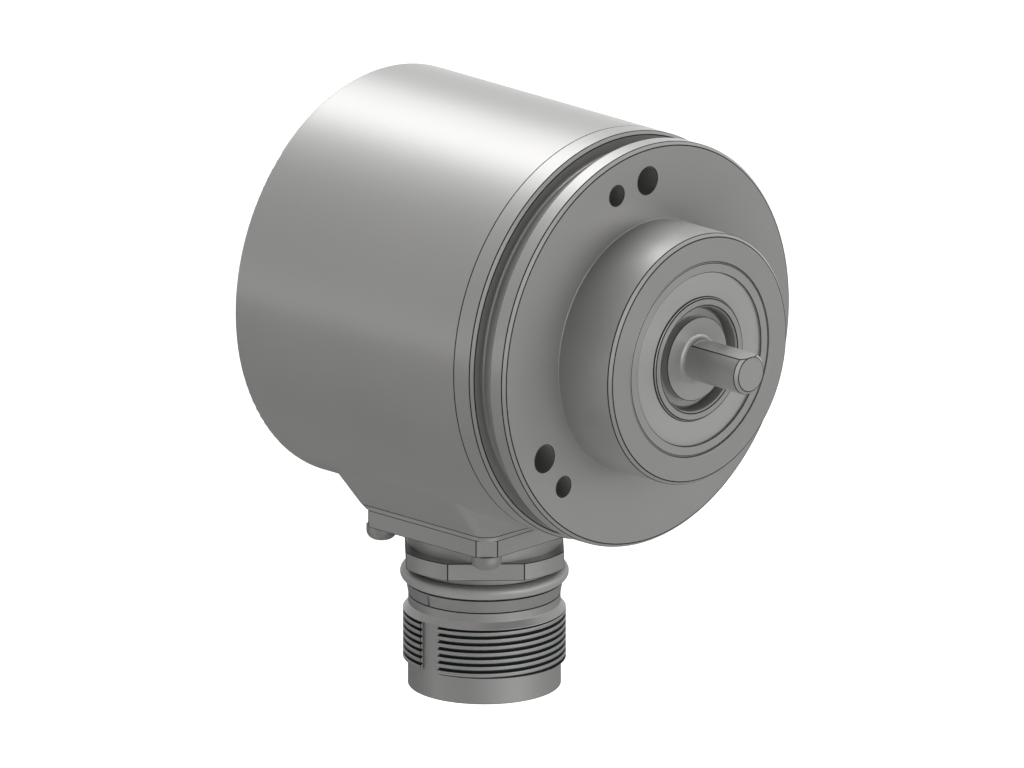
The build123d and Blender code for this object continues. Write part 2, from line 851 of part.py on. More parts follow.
def connector_seal():
    section_r = shell_seal_section / 2
    section = Plane.XZ * (Pos(shell_seal_d / 2, z_seat + section_r) * Circle(section_r))
    return Pos(x_connector, 0, 0) * revolve(section, Axis.Z)


def connector_screws():
    head = upright_rod(z_plate - connector_head_height, z_plate, connector_head_d / 2)
    head = fillet(head.edges().filter_by(GeomType.CIRCLE).sort_by(Axis.Z)[0], connector_head_radius)
    screw = head + upright_rod(z_plate, z_seat + connector_screw_length, connector_screw_d / 2)
    z_socket = z_plate - connector_head_height + hex_socket_depth
    screw -= upright_rod(z_plate - connector_head_height, z_socket, connector_socket_d / 2)
    return group(place * screw for place in connector_corners())


def connector_o_ring():
    section_r = shell_ring_section / 2
    middle_z = (z_hexagon + z_ring_seat) / 2
    section = Plane.XZ * (Pos(ring_seat_d / 2 + section_r, middle_z) * Circle(section_r))
    return Pos(x_connector, 0, 0) * revolve(section, Axis.Z)


def connector_snap_ring():
    """Split conical ring that snaps into the shell below the O-ring."""
    seat_r = snap_ring_bottom_d / 2 - snap_ring_wall + snap_ring_clearance
    ring = upright([
        (seat_r, z_ring_seat),
        (snap_ring_top_d / 2, z_ring_seat),
        (snap_ring_bottom_d / 2, z_snap_ring),
        (seat_r, z_snap_ring),
    ])
    half_slit = snap_ring_slit / 2
    slit = block(-half_slit, half_slit, -snap_ring_bottom_d, 0, z_snap_ring, z_ring_seat)
    return ring - Pos(x_connector, 0, 0) * Rot(0, 0, snap_ring_angle) * slit


def contacts(circle_d, count):
    """Contact pins on one circle of the insert, with rounded tips."""
    pin_r = contact_d / 2
    z_tip = z_shell_end + contact_recess
    z_tail = z_terminal_top + contact_tail
    pin = upright_rod(z_tip + pin_r, z_tail, pin_r) + Pos(x_connector, 0, z_tip + pin_r) * Sphere(pin_r)
    return group(place * pin for place in around_connector(circle_d / 2, count))


def contact_holes(z_low, z_high):
    """Drills for every contact through one piece."""
    drill = upright_rod(z_low, z_high, contact_d / 2 + fit_clearance)
    outer = around_connector(outer_contact_circle_d / 2, outer_contact_count)
    inner = around_connector(inner_contact_circle_d / 2, inner_contact_count)
    return [place * drill for place in outer + inner]


def connector_insert():
    flange_r = socket_r - insert_clearance
    z_face = z_socket_floor - insert_flange_length
    body = upright([
        (0, z_face),
        (flange_r, z_face),
        (flange_r, z_socket_floor),
        (insert_r, z_socket_floor),
        (insert_r, z_insert_top),
        (0, z_insert_top),
    ])
    return body - contact_holes(z_face, z_insert_top)


def outer_contacts():
    return contacts(outer_contact_circle_d, outer_contact_count)


def inner_contacts():
    return contacts(inner_contact_circle_d, inner_contact_count)


def terminal_board():
    return upright_rod(z_insert_top, z_terminal_top, terminal_board_r) - contact_holes(
        z_insert_top, z_terminal_top)


def flex_lead():
    """Flexible strip from the terminal board up to its socket on the main board."""
    z_low = z_terminal_top
    z_high = z_low + flex_rise
    half = flex_thickness / 2
    path = Spline(
        (x_flex, z_low),
        (x_flex + flex_bow, (z_low + z_high) / 2),
        (x_flex, z_high),
        tangents=((0, 1), (0, 1)))
    strip = make_face([
        path.translate((-half, 0, 0)),
        path.translate((half, 0, 0)),
        Line((x_flex - half, z_low), (x_flex + half, z_low)),
        Line((x_flex - half, z_high), (x_flex + half, z_high)),
    ])
    return Pos(0, flex_width / 2, 0) * extrude(Plane.XZ * strip, flex_width)


def flex_socket():
    z_low = z_terminal_top + flex_rise
    half = flex_socket_width / 2
    return block(x_main_board_front, x_flex + flex_socket_cover, -half, half,
                 z_low, z_low + flex_socket_height)


nodes = {
    "flange_body": flange_body,
    "housing_cover": housing_cover,
    "cover_seal": cover_seal,
    "cover_screws": cover_screws,
    "front_bearing_outer_ring": front_bearing.outer_ring,
    "front_bearing_inner_ring": front_bearing.inner_ring,
    "front_bearing_balls": front_bearing.balls,
    "front_bearing_cage": front_bearing.cage,
    "front_bearing_seals": front_bearing.seals,
    "rear_bearing_outer_ring": rear_bearing.outer_ring,
    "rear_bearing_inner_ring": rear_bearing.inner_ring,
    "rear_bearing_balls": rear_bearing.balls,
    "rear_bearing_cage": rear_bearing.cage,
    "rear_bearing_seals": rear_bearing.seals,
    "preload_washer": preload_washer,
    "shaft": shaft,
    "retaining_ring": retaining_ring,
    "disc_hub": disc_hub,
    "code_disc": code_disc,
    "disc_clamp_ring": disc_clamp_ring,
    "hub_screw": hub_screw,
    "light_carrier": light_carrier,
    "light_source": light_source,
    "scan_reticle": scan_reticle,
    "scan_chip": scan_chip,
    "scan_board": lambda: board(x_scan_board_rear, x_scan_board_front),
    "main_board": lambda: board(x_main_board_rear, x_main_board_front),
    "front_pillars": front_pillars,
    "middle_pillars": middle_pillars,
    "rear_pillars": rear_pillars,
    "board_link": board_link,
    "board_chips": board_chips,
    "connector_shell": connector_shell,
    "connector_seal": connector_seal,
    "connector_screws": connector_screws,
    "connector_o_ring": connector_o_ring,
    "connector_snap_ring": connector_snap_ring,
    "connector_insert": connector_insert,
    "outer_contacts": outer_contacts,
    "inner_contacts": inner_contacts,
    "terminal_board": terminal_board,
    "flex_lead": flex_lead,
    "flex_socket": flex_socket,
}

os.makedirs("parts", exist_ok=True)
for name, make in nodes.items():
    export_step(make(), f"parts/{name}.step")
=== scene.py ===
"""Looks of the absolute rotary encoder: finishes, fine shapes, studio and camera.

Lengths are millimetres until a mesh is written, and every piece sits in the model's own frame:
the origin is the centre of the flange's mounting face, +X runs out along the shaft, +Z is up
and the connector points to -Z.
"""
import logging
import math
from dataclasses import dataclass, field, replace
from enum import Enum
from typing import Optional, Sequence

import bmesh
import bpy
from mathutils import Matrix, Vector
from mathutils.geometry import tessellate_polygon


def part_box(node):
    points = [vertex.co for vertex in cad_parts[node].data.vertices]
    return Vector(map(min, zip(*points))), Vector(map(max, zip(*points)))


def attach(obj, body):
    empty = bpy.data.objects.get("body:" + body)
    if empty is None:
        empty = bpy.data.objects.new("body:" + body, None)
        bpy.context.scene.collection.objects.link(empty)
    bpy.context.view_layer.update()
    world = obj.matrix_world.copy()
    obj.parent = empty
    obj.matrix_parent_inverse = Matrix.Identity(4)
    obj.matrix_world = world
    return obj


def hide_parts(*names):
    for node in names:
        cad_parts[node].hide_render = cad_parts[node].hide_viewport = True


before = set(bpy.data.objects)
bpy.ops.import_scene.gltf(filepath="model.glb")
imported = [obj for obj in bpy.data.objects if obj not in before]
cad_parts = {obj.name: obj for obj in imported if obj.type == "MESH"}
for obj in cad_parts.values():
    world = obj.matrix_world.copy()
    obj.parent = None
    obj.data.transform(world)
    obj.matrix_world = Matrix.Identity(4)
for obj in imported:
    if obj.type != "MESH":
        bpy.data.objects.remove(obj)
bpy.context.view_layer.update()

log = logging.getLogger("encoder")

MM = 0.001
TAU = 2 * math.pi
MERGE_GAP = 0.0005
STRAIGHT = 0.001
AROUND = 256
AROUND_HOLE = 48
ARC_STEPS = 3
LINE_SETBACK = 0.1
SOFT_SETBACK = 0.03
SETBACK_SHARE = 0.45
OVERLAP = 0.02
X_AXIS = Vector((1, 0, 0))
Y_AXIS = Vector((0, 1, 0))
Z_AXIS = Vector((0, 0, 1))
Source = float | tuple[float, ...] | bpy.types.NodeSocket
Sockets = bpy.types.bpy_prop_collection


class Body(Enum):
    """Moving bodies that a visible piece can ride on."""

    HOUSING = "housing"
    ROTOR = "rotor"


class Part(Enum):
    """Finish numbers inside one mesh: plain metal, or painted shade along edges, thread roots and slot walls.
    """

    PLAIN = 0
    # Painted shade: these faces take the near-black edge_shade finish.
    LINE = 1


@dataclass(frozen=True)
class Axle:
    """Axis that turned surfaces spin about.

    Attributes:
        origin: Point on the axis.
        along: Direction of the axis.
        side: Direction at a quarter turn.
        up: Direction at angle zero.
    """

    origin: Vector
    along: Vector
    side: Vector
    up: Vector

    @classmethod
    def forward(cls, y: float = 0.0, z: float = 0.0) -> "Axle":
        """Axis parallel to the shaft."""
        return cls(Vector((0, y, z)), X_AXIS, Y_AXIS, Z_AXIS)

    @classmethod
    def upright(cls, x: float, y: float = 0.0) -> "Axle":
        """Axis parallel to +Z."""
        return cls(Vector((x, y, 0)), Z_AXIS, X_AXIS, Y_AXIS)

    def direction(self, along: float, radial: float, angle: float) -> Vector:
        """Direction with a share along the axis and a share away from it, at an angle about it."""
        return self.along * along + (self.side * math.sin(angle) + self.up * math.cos(angle)) * radial

    def point(self, along: float, radius: float, angle: float) -> Vector:
        """Point at a place along the axis, a distance from it and an angle."""
        return self.origin + self.direction(along, radius, angle)


@dataclass(frozen=True)
class NodeSize:
    """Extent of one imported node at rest, in millimetres."""

    low: Vector
    high: Vector

    @classmethod
    def of(cls, node: str) -> "NodeSize":
        """Read the extent of a node from the frame."""
        low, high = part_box(node)
        return cls(Vector(low) / MM, Vector(high) / MM)

    @property
    def radius(self) -> float:
        """Half of the width across Y."""
        return (self.high.y - self.low.y) / 2

    @property
    def middle_x(self) -> float:
        """Middle along X."""
        return (self.high.x + self.low.x) / 2


@dataclass(frozen=True)
class Corner:
    """Corner of a turned outline.

    Attributes:
        along: Place along the axis.
        radius: Distance from the axis.
        setback: Distance from the corner at which its rounding starts.
        shade_lined: Whether the rounding carries a fine dark line of painted shade.
    """

    along: float
    radius: float
    setback: float = LINE_SETBACK
    shade_lined: bool = True


def soft(along: float, radius: float, setback: float = SOFT_SETBACK) -> Corner:
    """Corner without a painted shade line; with no setback it is a point of a smooth curve."""
    return Corner(along, radius, setback, False)


@dataclass(frozen=True)
class OutlinePoint:
    """Point of a rounded outline, with its outward direction and whether a painted shade line follows it."""

    along: float
    radius: float
    out_along: float
    out_radius: float
    shade_lined: bool


@dataclass
class Loop:
    """Closed ring of points with their outward directions."""

    points: list[Vector]
    normals: list[Vector]


@dataclass
class Shape:
    """Mesh in the making: points with their outward directions, and faces with a finish number."""

    points: list[Vector] = field(default_factory=list)
    normals: list[Vector] = field(default_factory=list)
    faces: list[tuple[int, ...]] = field(default_factory=list)
    finishes: list[int] = field(default_factory=list)

    def keep(self, loop: Loop) -> list[int]:
        """Add a ring of points.

        Args:
            loop: Ring to add.

        Returns:
            Numbers of its points.
        """
        start = len(self.points)
        self.points.extend(loop.points)
        self.normals.extend(loop.normals)
        return list(range(start, len(self.points)))

    def bridge(self, low: Sequence[int], high: Sequence[int], parts: Sequence[Part],
               closed: bool = True) -> None:
        """Join two rings by faces.

        Args:
            low: Numbers of the first ring.
            high: Numbers of the second ring.
            parts: Finish of each face around the ring.
            closed: Whether the last point joins the first.
        """
        count = max(len(low), len(high))
        for step in range(count if closed else count - 1):
            after = (step + 1) % count
            corners = (low[step % len(low)], low[after % len(low)],
                       high[after % len(high)], high[step % len(high)])
            face = tuple(dict.fromkeys(corners))
            if len(face) > 2:
                self.faces.append(face)
                self.finishes.append(parts[step % len(parts)].value)

    def plane(self, loops: Sequence[Sequence[Vector]], normal: Vector) -> None:
        """Flat face with an outer edge and any number of holes.

        Args:
            loops: Outer edge and edges of the holes.
            normal: Direction that the face looks in.
        """
        flat = [point for loop in loops for point in loop]
        start = len(self.points)
        self.points.extend(flat)
        self.normals.extend([normal] * len(flat))
        for triangle in tessellate_polygon([list(loop) for loop in loops]):
            first, second, third = (flat[index] for index in triangle)
            facing = (second - first).cross(third - first).dot(normal)
            order = triangle if facing > 0 else tuple(reversed(triangle))
            self.faces.append(tuple(start + index for index in order))
            self.finishes.append(Part.PLAIN.value)

    def build(self, name: str, *materials: bpy.types.Material) -> bpy.types.Object:
        """Write the mesh, joined where its parts meet.

        Args:
            name: Name of the new piece.
            materials: Materials in the order of the finish numbers.

        Returns:
            The new object.
        """
        mesh = bpy.data.meshes.new(name)
        mesh.from_pydata([tuple(point * MM) for point in self.points], [], self.faces)
        mesh.polygons.foreach_set("material_index", self.finishes)
        store = mesh.attributes.new("outward", "FLOAT_VECTOR", "POINT")
        store.data.foreach_set("vector", [part for normal in self.normals for part in normal])
        joined = bmesh.new()
        joined.from_mesh(mesh)
        bmesh.ops.remove_doubles(joined, verts=joined.verts, dist=MERGE_GAP * MM)
        joined.to_mesh(mesh)
        joined.free()
        for material in materials:
            mesh.materials.append(material)
        mesh.shade_smooth()
        outward = [Vector(item.vector).normalized() for item in mesh.attributes["outward"].data]
        mesh.attributes.remove(mesh.attributes["outward"])
        mesh.normals_split_custom_set_from_vertices(outward)
        made = bpy.data.objects.new(name, mesh)
        bpy.context.scene.collection.objects.link(made)
        return made


def even_angles(count: int) -> list[float]:
    """Angles spread evenly over a full turn."""
    return [TAU * step / count for step in range(count)]


class Turning:
    """Outline that is turned about an axis, with every corner rounded.

    The outline runs counter-clockwise when the axis runs to the right and the radius runs up,
    so that the piece lies on its left.
    """

    def __init__(self, corners: Sequence[Corner], closed: bool = True, arc_steps: int = ARC_STEPS) -> None:
        """Round the corners.

        Args:
            corners: Corners of the outline.
            closed: Whether the last corner joins the first; otherwise both ends stay as they are.
            arc_steps: Steps of each rounding.
        """
        self.closed = closed
        self.arc_steps = arc_steps
        self.outline: list[OutlinePoint] = []
        last = len(corners) - 1
        for index, corner in enumerate(corners):
            if closed or 0 < index < last:
                self.outline.extend(self._arc(corners[index - 1], corner, corners[(index + 1) % (last + 1)]))
                continue
            first, second = (corner, corners[1]) if index == 0 else (corners[-2], corner)
            run = Vector((second.along - first.along, second.radius - first.radius)).normalized()
            self.outline.append(OutlinePoint(corner.along, corner.radius, run.y, -run.x, False))

    def _arc(self, before: Corner, corner: Corner, after: Corner) -> list[OutlinePoint]:
        """Arc that rounds one corner.

        Args:
            before: Corner before it.
            corner: Corner to round.
            after: Corner after it.

        Returns:
            Points of the arc in running order.
        """
        here = Vector((corner.along, corner.radius))
        back = Vector((before.along, before.radius)) - here
        ahead = Vector((after.along, after.radius)) - here
        setback = min(corner.setback, back.length * SETBACK_SHARE, ahead.length * SETBACK_SHARE)
        back.normalize()
        ahead.normalize()
        out_back = Vector((-back.y, back.x))
        out_ahead = Vector((ahead.y, -ahead.x))
        half = (math.pi - back.angle(ahead)) / 2
        if half < STRAIGHT or not corner.setback:
            out = (out_back + out_ahead).normalized()
            return [OutlinePoint(here.x, here.y, out.x, out.y, corner.shade_lined)]
        size = setback / math.tan(half)
        turn = 1 if out_back.dot(ahead) < 0 else -1
        centre = here + back * setback - out_back * (turn * size)
        points = []
        for step in range(self.arc_steps + 1):
            out = out_back.slerp(out_ahead, step / self.arc_steps)
            place = centre + out * (turn * size)
            # A lined corner's rounding is painted with dark shade.
            shade_lined = corner.shade_lined and step < self.arc_steps
            points.append(OutlinePoint(place.x, place.y, out.x, out.y, shade_lined))
        return points

    def ring(self, index: int, axle: Axle, angles: Sequence[float]) -> Loop:
        """Ring that one point of the outline draws.

        Args:
            index: Number of the point.
            axle: Axis of turning.
            angles: Angles of the ring's points.

        Returns:
            The ring, or a single point on the axis.
        """
        item = self.outline[index]
        turns = angles if item.radius > MERGE_GAP else angles[:1]
        return Loop([axle.point(item.along, item.radius, angle) for angle in turns],
                    [axle.direction(item.out_along, item.out_radius, angle) for angle in turns])

    def spin(self, shape: Shape, axle: Axle, angles: Sequence[float],
             open_after: Optional[float] = None) -> None:
        """Turn the outline and add it to a shape.

        Args:
            shape: Shape that receives the surface.
            axle: Axis of turning.
            angles: Angles of the rings' points.
            open_after: Place along the axis of a flat stretch that is left open.
        """
        rings = [shape.keep(self.ring(index, axle, angles)) for index in range(len(self.outline))]
        pairs = list(zip(range(len(rings)), range(1, len(rings))))
        if self.closed:
            pairs.append((len(rings) - 1, 0))
        for first, second in pairs:
            start, end = self.outline[first], self.outline[second]
            flat = abs(start.along - end.along) < MERGE_GAP
            if open_after is not None and flat and abs(start.along - open_after) < MERGE_GAP:
                continue
            # Faces after a lined point are painted with the dark shade finish.
            part = Part.LINE if start.shade_lined else Part.PLAIN
            shape.bridge(rings[first], rings[second], [part])

    def spin_part(self, shape: Shape, axle: Axle, angles: Sequence[float]) -> None:
        """Turn the outline over less than a full turn and close both ends.

        Args:
            shape: Shape that receives the surface.
            axle: Axis of turning.
            angles: Rising angles of the rings' points.
        """
        loops = [self.ring(index, axle, angles) for index in range(len(self.outline))]
        rings = [shape.keep(loop) for loop in loops]
        for index, ring in enumerate(rings):
            # Faces after a lined point are painted with the dark shade finish.
            part = Part.LINE if self.outline[index].shade_lined else Part.PLAIN
            shape.bridge(ring, rings[(index + 1) % len(rings)], [part], closed=False)
        for end, facing in ((0, -1), (-1, 1)):
            normal = axle.direction(0, facing, angles[end] + math.pi / 2)
            shape.plane([[loop.points[end] for loop in loops]], normal)


class Prism:
    """Upright prism with a convex outline and rounded edges."""

    def __init__(self, outline: Sequence[Vector], sharp: Optional[Sequence[bool]] = None) -> None:
        """Keep the outline.

        Args:
            outline: Corners in X and Y, counter-clockwise seen from above.
            sharp: Which corners are edges, the others being points of a curve; all are when left out.
        """
        self.outline = list(outline)
        self.sharp = [True] * len(self.outline) if sharp is None else list(sharp)

    def loop(self, z: float, inset: float, tilt: float) -> tuple[Loop, list[Part]]:
        """Rounded outline at one height.

        Args:
            z: Height.
            inset: Distance by which the outline is drawn in.
            tilt: Share of the outward direction that points up.

        Returns:
            The ring and the finish of each stretch after its points.
        """
        ring, parts = Loop([], []), []
        count = len(self.outline)
        level = math.sqrt(1 - tilt ** 2)
        for index, corner in enumerate(self.outline):
            run_in = (corner - self.outline[index - 1]).normalized()
            run_out = (self.outline[(index + 1) % count] - corner).normalized()
            out_in, out_out = Vector((run_in.y, -run_in.x)), Vector((run_out.y, -run_out.x))
            if not self.sharp[index]:
                out = (out_in + out_out).normalized()
                ring.points.append(Vector((corner.x - out.x * inset, corner.y - out.y * inset, z)))
                ring.normals.append(Vector((out.x * level, out.y * level, tilt)))
                parts.append(Part.PLAIN)
                continue
            size = LINE_SETBACK / math.tan(out_in.angle(out_out) / 2)
            centre = corner - run_in * LINE_SETBACK - out_in * size
            for step in range(ARC_STEPS + 1):
                out = out_in.slerp(out_out, step / ARC_STEPS)
                place = centre + out * (size - inset)
                ring.points.append(Vector((place.x, place.y, z)))
                ring.normals.append(Vector((out.x * level, out.y * level, tilt)))
                # The rounding of each sharp corner is painted with dark shade.
                parts.append(Part.LINE if step < ARC_STEPS else Part.PLAIN)
        return ring, parts

    def walls(self, shape: Shape, z_low: float, z_high: float) -> tuple[Loop, Loop]:
        """Add the side walls with rounded edges.

        Args:
            shape: Shape that receives the walls.
            z_low: Lower end.
            z_high: Upper end.

        Returns:
            The rings that bound the lower and the upper face.
        """
        heights = []
        for step in range(ARC_STEPS + 1):
            angle = math.pi / 2 * (1 - step / ARC_STEPS)
            heights.append((z_low + LINE_SETBACK * (1 - math.sin(angle)),
                            LINE_SETBACK * (1 - math.cos(angle)), -math.sin(angle)))
        heights += [(z_low + z_high - z, inset, -tilt) for z, inset, tilt in reversed(heights)]
        made = [self.loop(*height) for height in heights]
        rings = [shape.keep(loop) for loop, _ in made]
        for index in range(len(rings) - 1):
            # The rounded top and bottom edges are painted with dark shade; the straight wall between them is
            # plain.
            edge = index != ARC_STEPS
            parts = [Part.LINE] if edge else made[index][1]
            shape.bridge(rings[index], rings[index + 1], parts)
        return made[0][0], made[-1][0]


@dataclass
class Thread:
    """Outside screw thread about an upright axis, with its lead-in cone, end shoulder and key slot."""

    axle: Axle
    top: float
    bottom: float
    top_radius: float
    end_radius: float
    crest_radius: float = 11.4
    depth: float = 0.45
    pitch: float = 1.0
    lead_in: float = 1.0
    run_out: float = 0.35
    slot_half: float = 1.6
    slot_steps: int = 10
    edge: float = 0.06
    crest_share: float = 0.46
    root_share: float = 0.16
    cone_rows: int = 3

    def slot_angle(self, distance: float, radius: float) -> float:
        """Angle between the slot's middle and a point at a distance from its plane and from the axis."""
        return math.asin(distance / radius)

    def ring_angles(self) -> list[float]:
        """Angles that every ring of the barrel uses, with the slot's edges among them.

        Returns:
            Rising angles of one turn.
        """
        wide = self.slot_angle(self.slot_half + self.edge, self.top_radius)
        outside = [angle for angle in even_angles(AROUND) if abs(angle - math.pi) > wide + TAU / AROUND / 2]
        before = [angle for angle in outside if angle < math.pi]
        after = [angle for angle in outside if angle > math.pi]
        sides = [self.slot_angle(self.slot_half + step * self.edge, self.top_radius) for step in (1, 0, -1)]
        inner = [sides[2] * (1 - 2 * step / self.slot_steps) for step in range(1, self.slot_steps)]
        slot = sides + inner + [-side for side in reversed(sides)]
        return before + [math.pi - offset for offset in slot] + after

    def profile(self) -> list[OutlinePoint]:
        """Rounded ridges from above the cone's end to below the shoulder, with painted shade in the roots.

        Returns:
            Outline of the ridges at angle zero.
        """
        root_radius = self.crest_radius - self.depth
        flank = (1 - self.crest_share - self.root_share) / 2
        corners = []
        turns = math.ceil((self.top - self.bottom) / self.pitch) + 2
        for turn in range(turns):
            z = self.top + self.pitch * (1 - turn)
            crest_end = z - self.crest_share * self.pitch
            root_start = crest_end - flank * self.pitch
            root_end = root_start - self.root_share * self.pitch
            corners += [Corner(z, self.crest_radius, self.edge, False),
                        Corner(crest_end, self.crest_radius, self.edge, True),
                        Corner(root_start, root_radius, self.edge, True),
                        Corner(root_end, root_radius, self.edge, True)]
        outline = Turning(corners, closed=False, arc_steps=1).outline
        # Painted shade: points in the roots are lined, so the grooves take the dark shade finish.
        return [replace(item, shade_lined=item.radius < root_radius + self.edge) for item in outline]

    def column(self, angle: float, profile: Sequence[OutlinePoint]) -> list[OutlinePoint]:
        """Outline of the thread at one angle.

        Args:
            angle: Angle about the axis.
            profile: Ridges at angle zero.

        Returns:
            Points from the cone to the shoulder, as many at every angle.
        """
        cone_end = self.top - self.lead_in
        rise = self.crest_radius - self.top_radius
        slope = math.hypot(rise, self.lead_in)
        up, out = rise / slope, self.lead_in / slope
        near = self.top - self.edge
        points = [OutlinePoint(self.top, self.top_radius, 0, 1, False),
                  OutlinePoint(near, self.top_radius + self.edge * rise / self.lead_in, up, out, False),
                  OutlinePoint(cone_end + self.edge, self.crest_radius - self.edge * rise / self.lead_in,
                               up, out, False)]
        last = OutlinePoint(cone_end, self.crest_radius, 0, 1, False)
        for item in profile:
            z = item.along - self.pitch * angle / TAU
            fade = min(1.0, max(0.0, (cone_end - z) / self.run_out))
            radius = self.crest_radius - (self.crest_radius - item.radius) * fade
            if z > cone_end:
                points.append(OutlinePoint(cone_end, self.crest_radius, 0, 1, item.shade_lined))
                continue
            if z < self.bottom:
                share = (last.along - self.bottom) / (last.along - z) if last.along > z else 0.0
                radius = last.radius + (radius - last.radius) * share
                z = self.bottom
            last = OutlinePoint(z, radius, item.out_along, item.out_radius, item.shade_lined)
            points.append(last)
        points[-1] = OutlinePoint(self.bottom, last.radius, 0, 1, True)
        rim = max(last.radius - self.edge, self.end_radius + 2 * OVERLAP)
        points.append(OutlinePoint(self.bottom, rim, -1, 0, False))
        points.append(OutlinePoint(self.bottom, self.end_radius + OVERLAP, -1, 0, False))
        points.append(OutlinePoint(self.bottom - OVERLAP, self.end_radius, 0, 1, False))
        return points

    def add_to(self, shape: Shape) -> None:
        """Add the thread's surface to the barrel.

        Args:
            shape: Shape that receives it.
        """
        angles = [*self.ring_angles(), TAU]
        reach = self.slot_angle(self.slot_half + 2 * self.edge, self.top_radius)
        slotted = [index for index, angle in enumerate(angles) if abs(angle - math.pi) < reach]
        first, last = slotted[0], slotted[-1]
        profile = self.profile()
        columns, kinds = [], []
        for index, angle in enumerate(angles):
            outline = self.column(angle, profile)
            if index < first or index > last:
                columns.append(self._strip(outline, angle))
                kinds.append(Part.PLAIN)
                continue
            mirrored = index > (first + last) // 2
            place = last - index if mirrored else index - first
            side = 1 if mirrored else -1
            if place == 0:
                beside = self._strip(outline, angle, side * (self.slot_half + self.edge))
                wall = self._strip(outline, angles[index - side], side * self.slot_half, self.edge,
                                   self.axle.side * side)
                columns += [wall, beside] if mirrored else [beside, wall]
                # Painted shade: the column at each slot wall is lined.
                kinds += [Part.LINE, Part.PLAIN]
                continue
            level = self.axle.direction(0, 1, angle)
            columns.append(self._strip(outline, angle, cut=self.crest_radius, flat=level))
            # The column beside the wall, at the floor's edge, is painted with dark shade too.
            kinds.append(Part.LINE if place == (2 if mirrored else 1) else Part.PLAIN)
        rows = len(columns[0].points)
        rings = [shape.keep(Loop([column.points[row] for column in columns],
                                 [column.normals[row] for column in columns])) for row in range(rows)]
        outline = self.column(0.0, profile)
        for row in range(rows - 1):
            parts = []
            for index, kind in enumerate(kinds):
                inside = first <= index <= last + 1
                # Painted shade: lined columns below the cone, and lined roots outside the slot, take the dark
                # finish.
                shade_lined = (kind is Part.LINE and row >= self.cone_rows) or (outline[row].shade_lined and not inside)
                parts.append(Part.LINE if shade_lined else Part.PLAIN)
            shape.bridge(rings[row], rings[row + 1], parts, closed=False)

    def _strip(self, outline: Sequence[OutlinePoint], foot: float, beside: float = 0.0, cut: float = 0.0,
               flat: Optional[Vector] = None) -> Loop:
        """Strip of points down the barrel, whole on the cone and shaped to the key slot below it.

        Args:
            outline: Outline of the thread there.
            foot: Angle of both ends, and of all points unless they stand in a plane beside the slot.
            beside: Distance of that plane from the slot's middle, negative before the slot.
            cut: Depth by which the strip lies under the outline, down to the slot's floor at most.
            flat: Direction out of the surface; the outline's own when left out.

        Returns:
            The strip.
        """
        strip = Loop([], [])
        for index, item in enumerate(outline):
            below = index >= self.cone_rows
            radius = max(item.radius - cut, self.end_radius) if cut and below else item.radius
            turn = foot
            if beside and 0 < index < len(outline) - 1:
                turn = math.pi + self.slot_angle(beside, radius)
            own = self.axle.direction(item.out_along, item.out_radius, turn)
            strip.points.append(self.axle.point(item.along, radius, turn))
            strip.normals.append(own if flat is None or not below else flat)
        return strip


class Wiring:
    """Short ways to add and join nodes in one tree."""

    def __init__(self, tree: bpy.types.NodeTree) -> None:
        """Keep the tree."""
        self.tree = tree

    def feed(self, socket: bpy.types.NodeSocket, source: Source) -> None:
        """Link a socket to another one, or give it a plain value.

        Args:
            socket: Socket that receives it.
            source: Another socket, a number or a colour.
        """
        if isinstance(source, bpy.types.NodeSocket):
            self.tree.links.new(source, socket)
        else:
            socket.default_value = source

    def add(self, kind: str, inputs: dict[int | str, Source], **settings: object) -> bpy.types.Node:
        """Add a node.

        Args:
            kind: Kind of node.
            inputs: What feeds its inputs, by name or number.
            settings: Options of the node, such as its operation.

        Returns:
            The node.
        """
        made = self.tree.nodes.new(f"ShaderNode{kind}")
        for name, value in settings.items():
            setattr(made, name, value)
        for key, source in inputs.items():
            self.feed(made.inputs[key], source)
        return made

    def math(self, operation: str, *sources: Source) -> bpy.types.NodeSocket:
        """Add a calculation and give its result."""
        return self.add("Math", dict(enumerate(sources)), operation=operation).outputs[0]

    def group(self, shared: bpy.types.NodeTree, inputs: dict[str, Source]) -> bpy.types.Node:
        """Place a shared group with its own values."""
        return self.add("Group", inputs, node_tree=shared)


class LineKind(Enum):
    """Ways to place a fine dark line: round the shaft axis or at one height."""

    RING = "ring_line"
    LEVEL = "level_line"


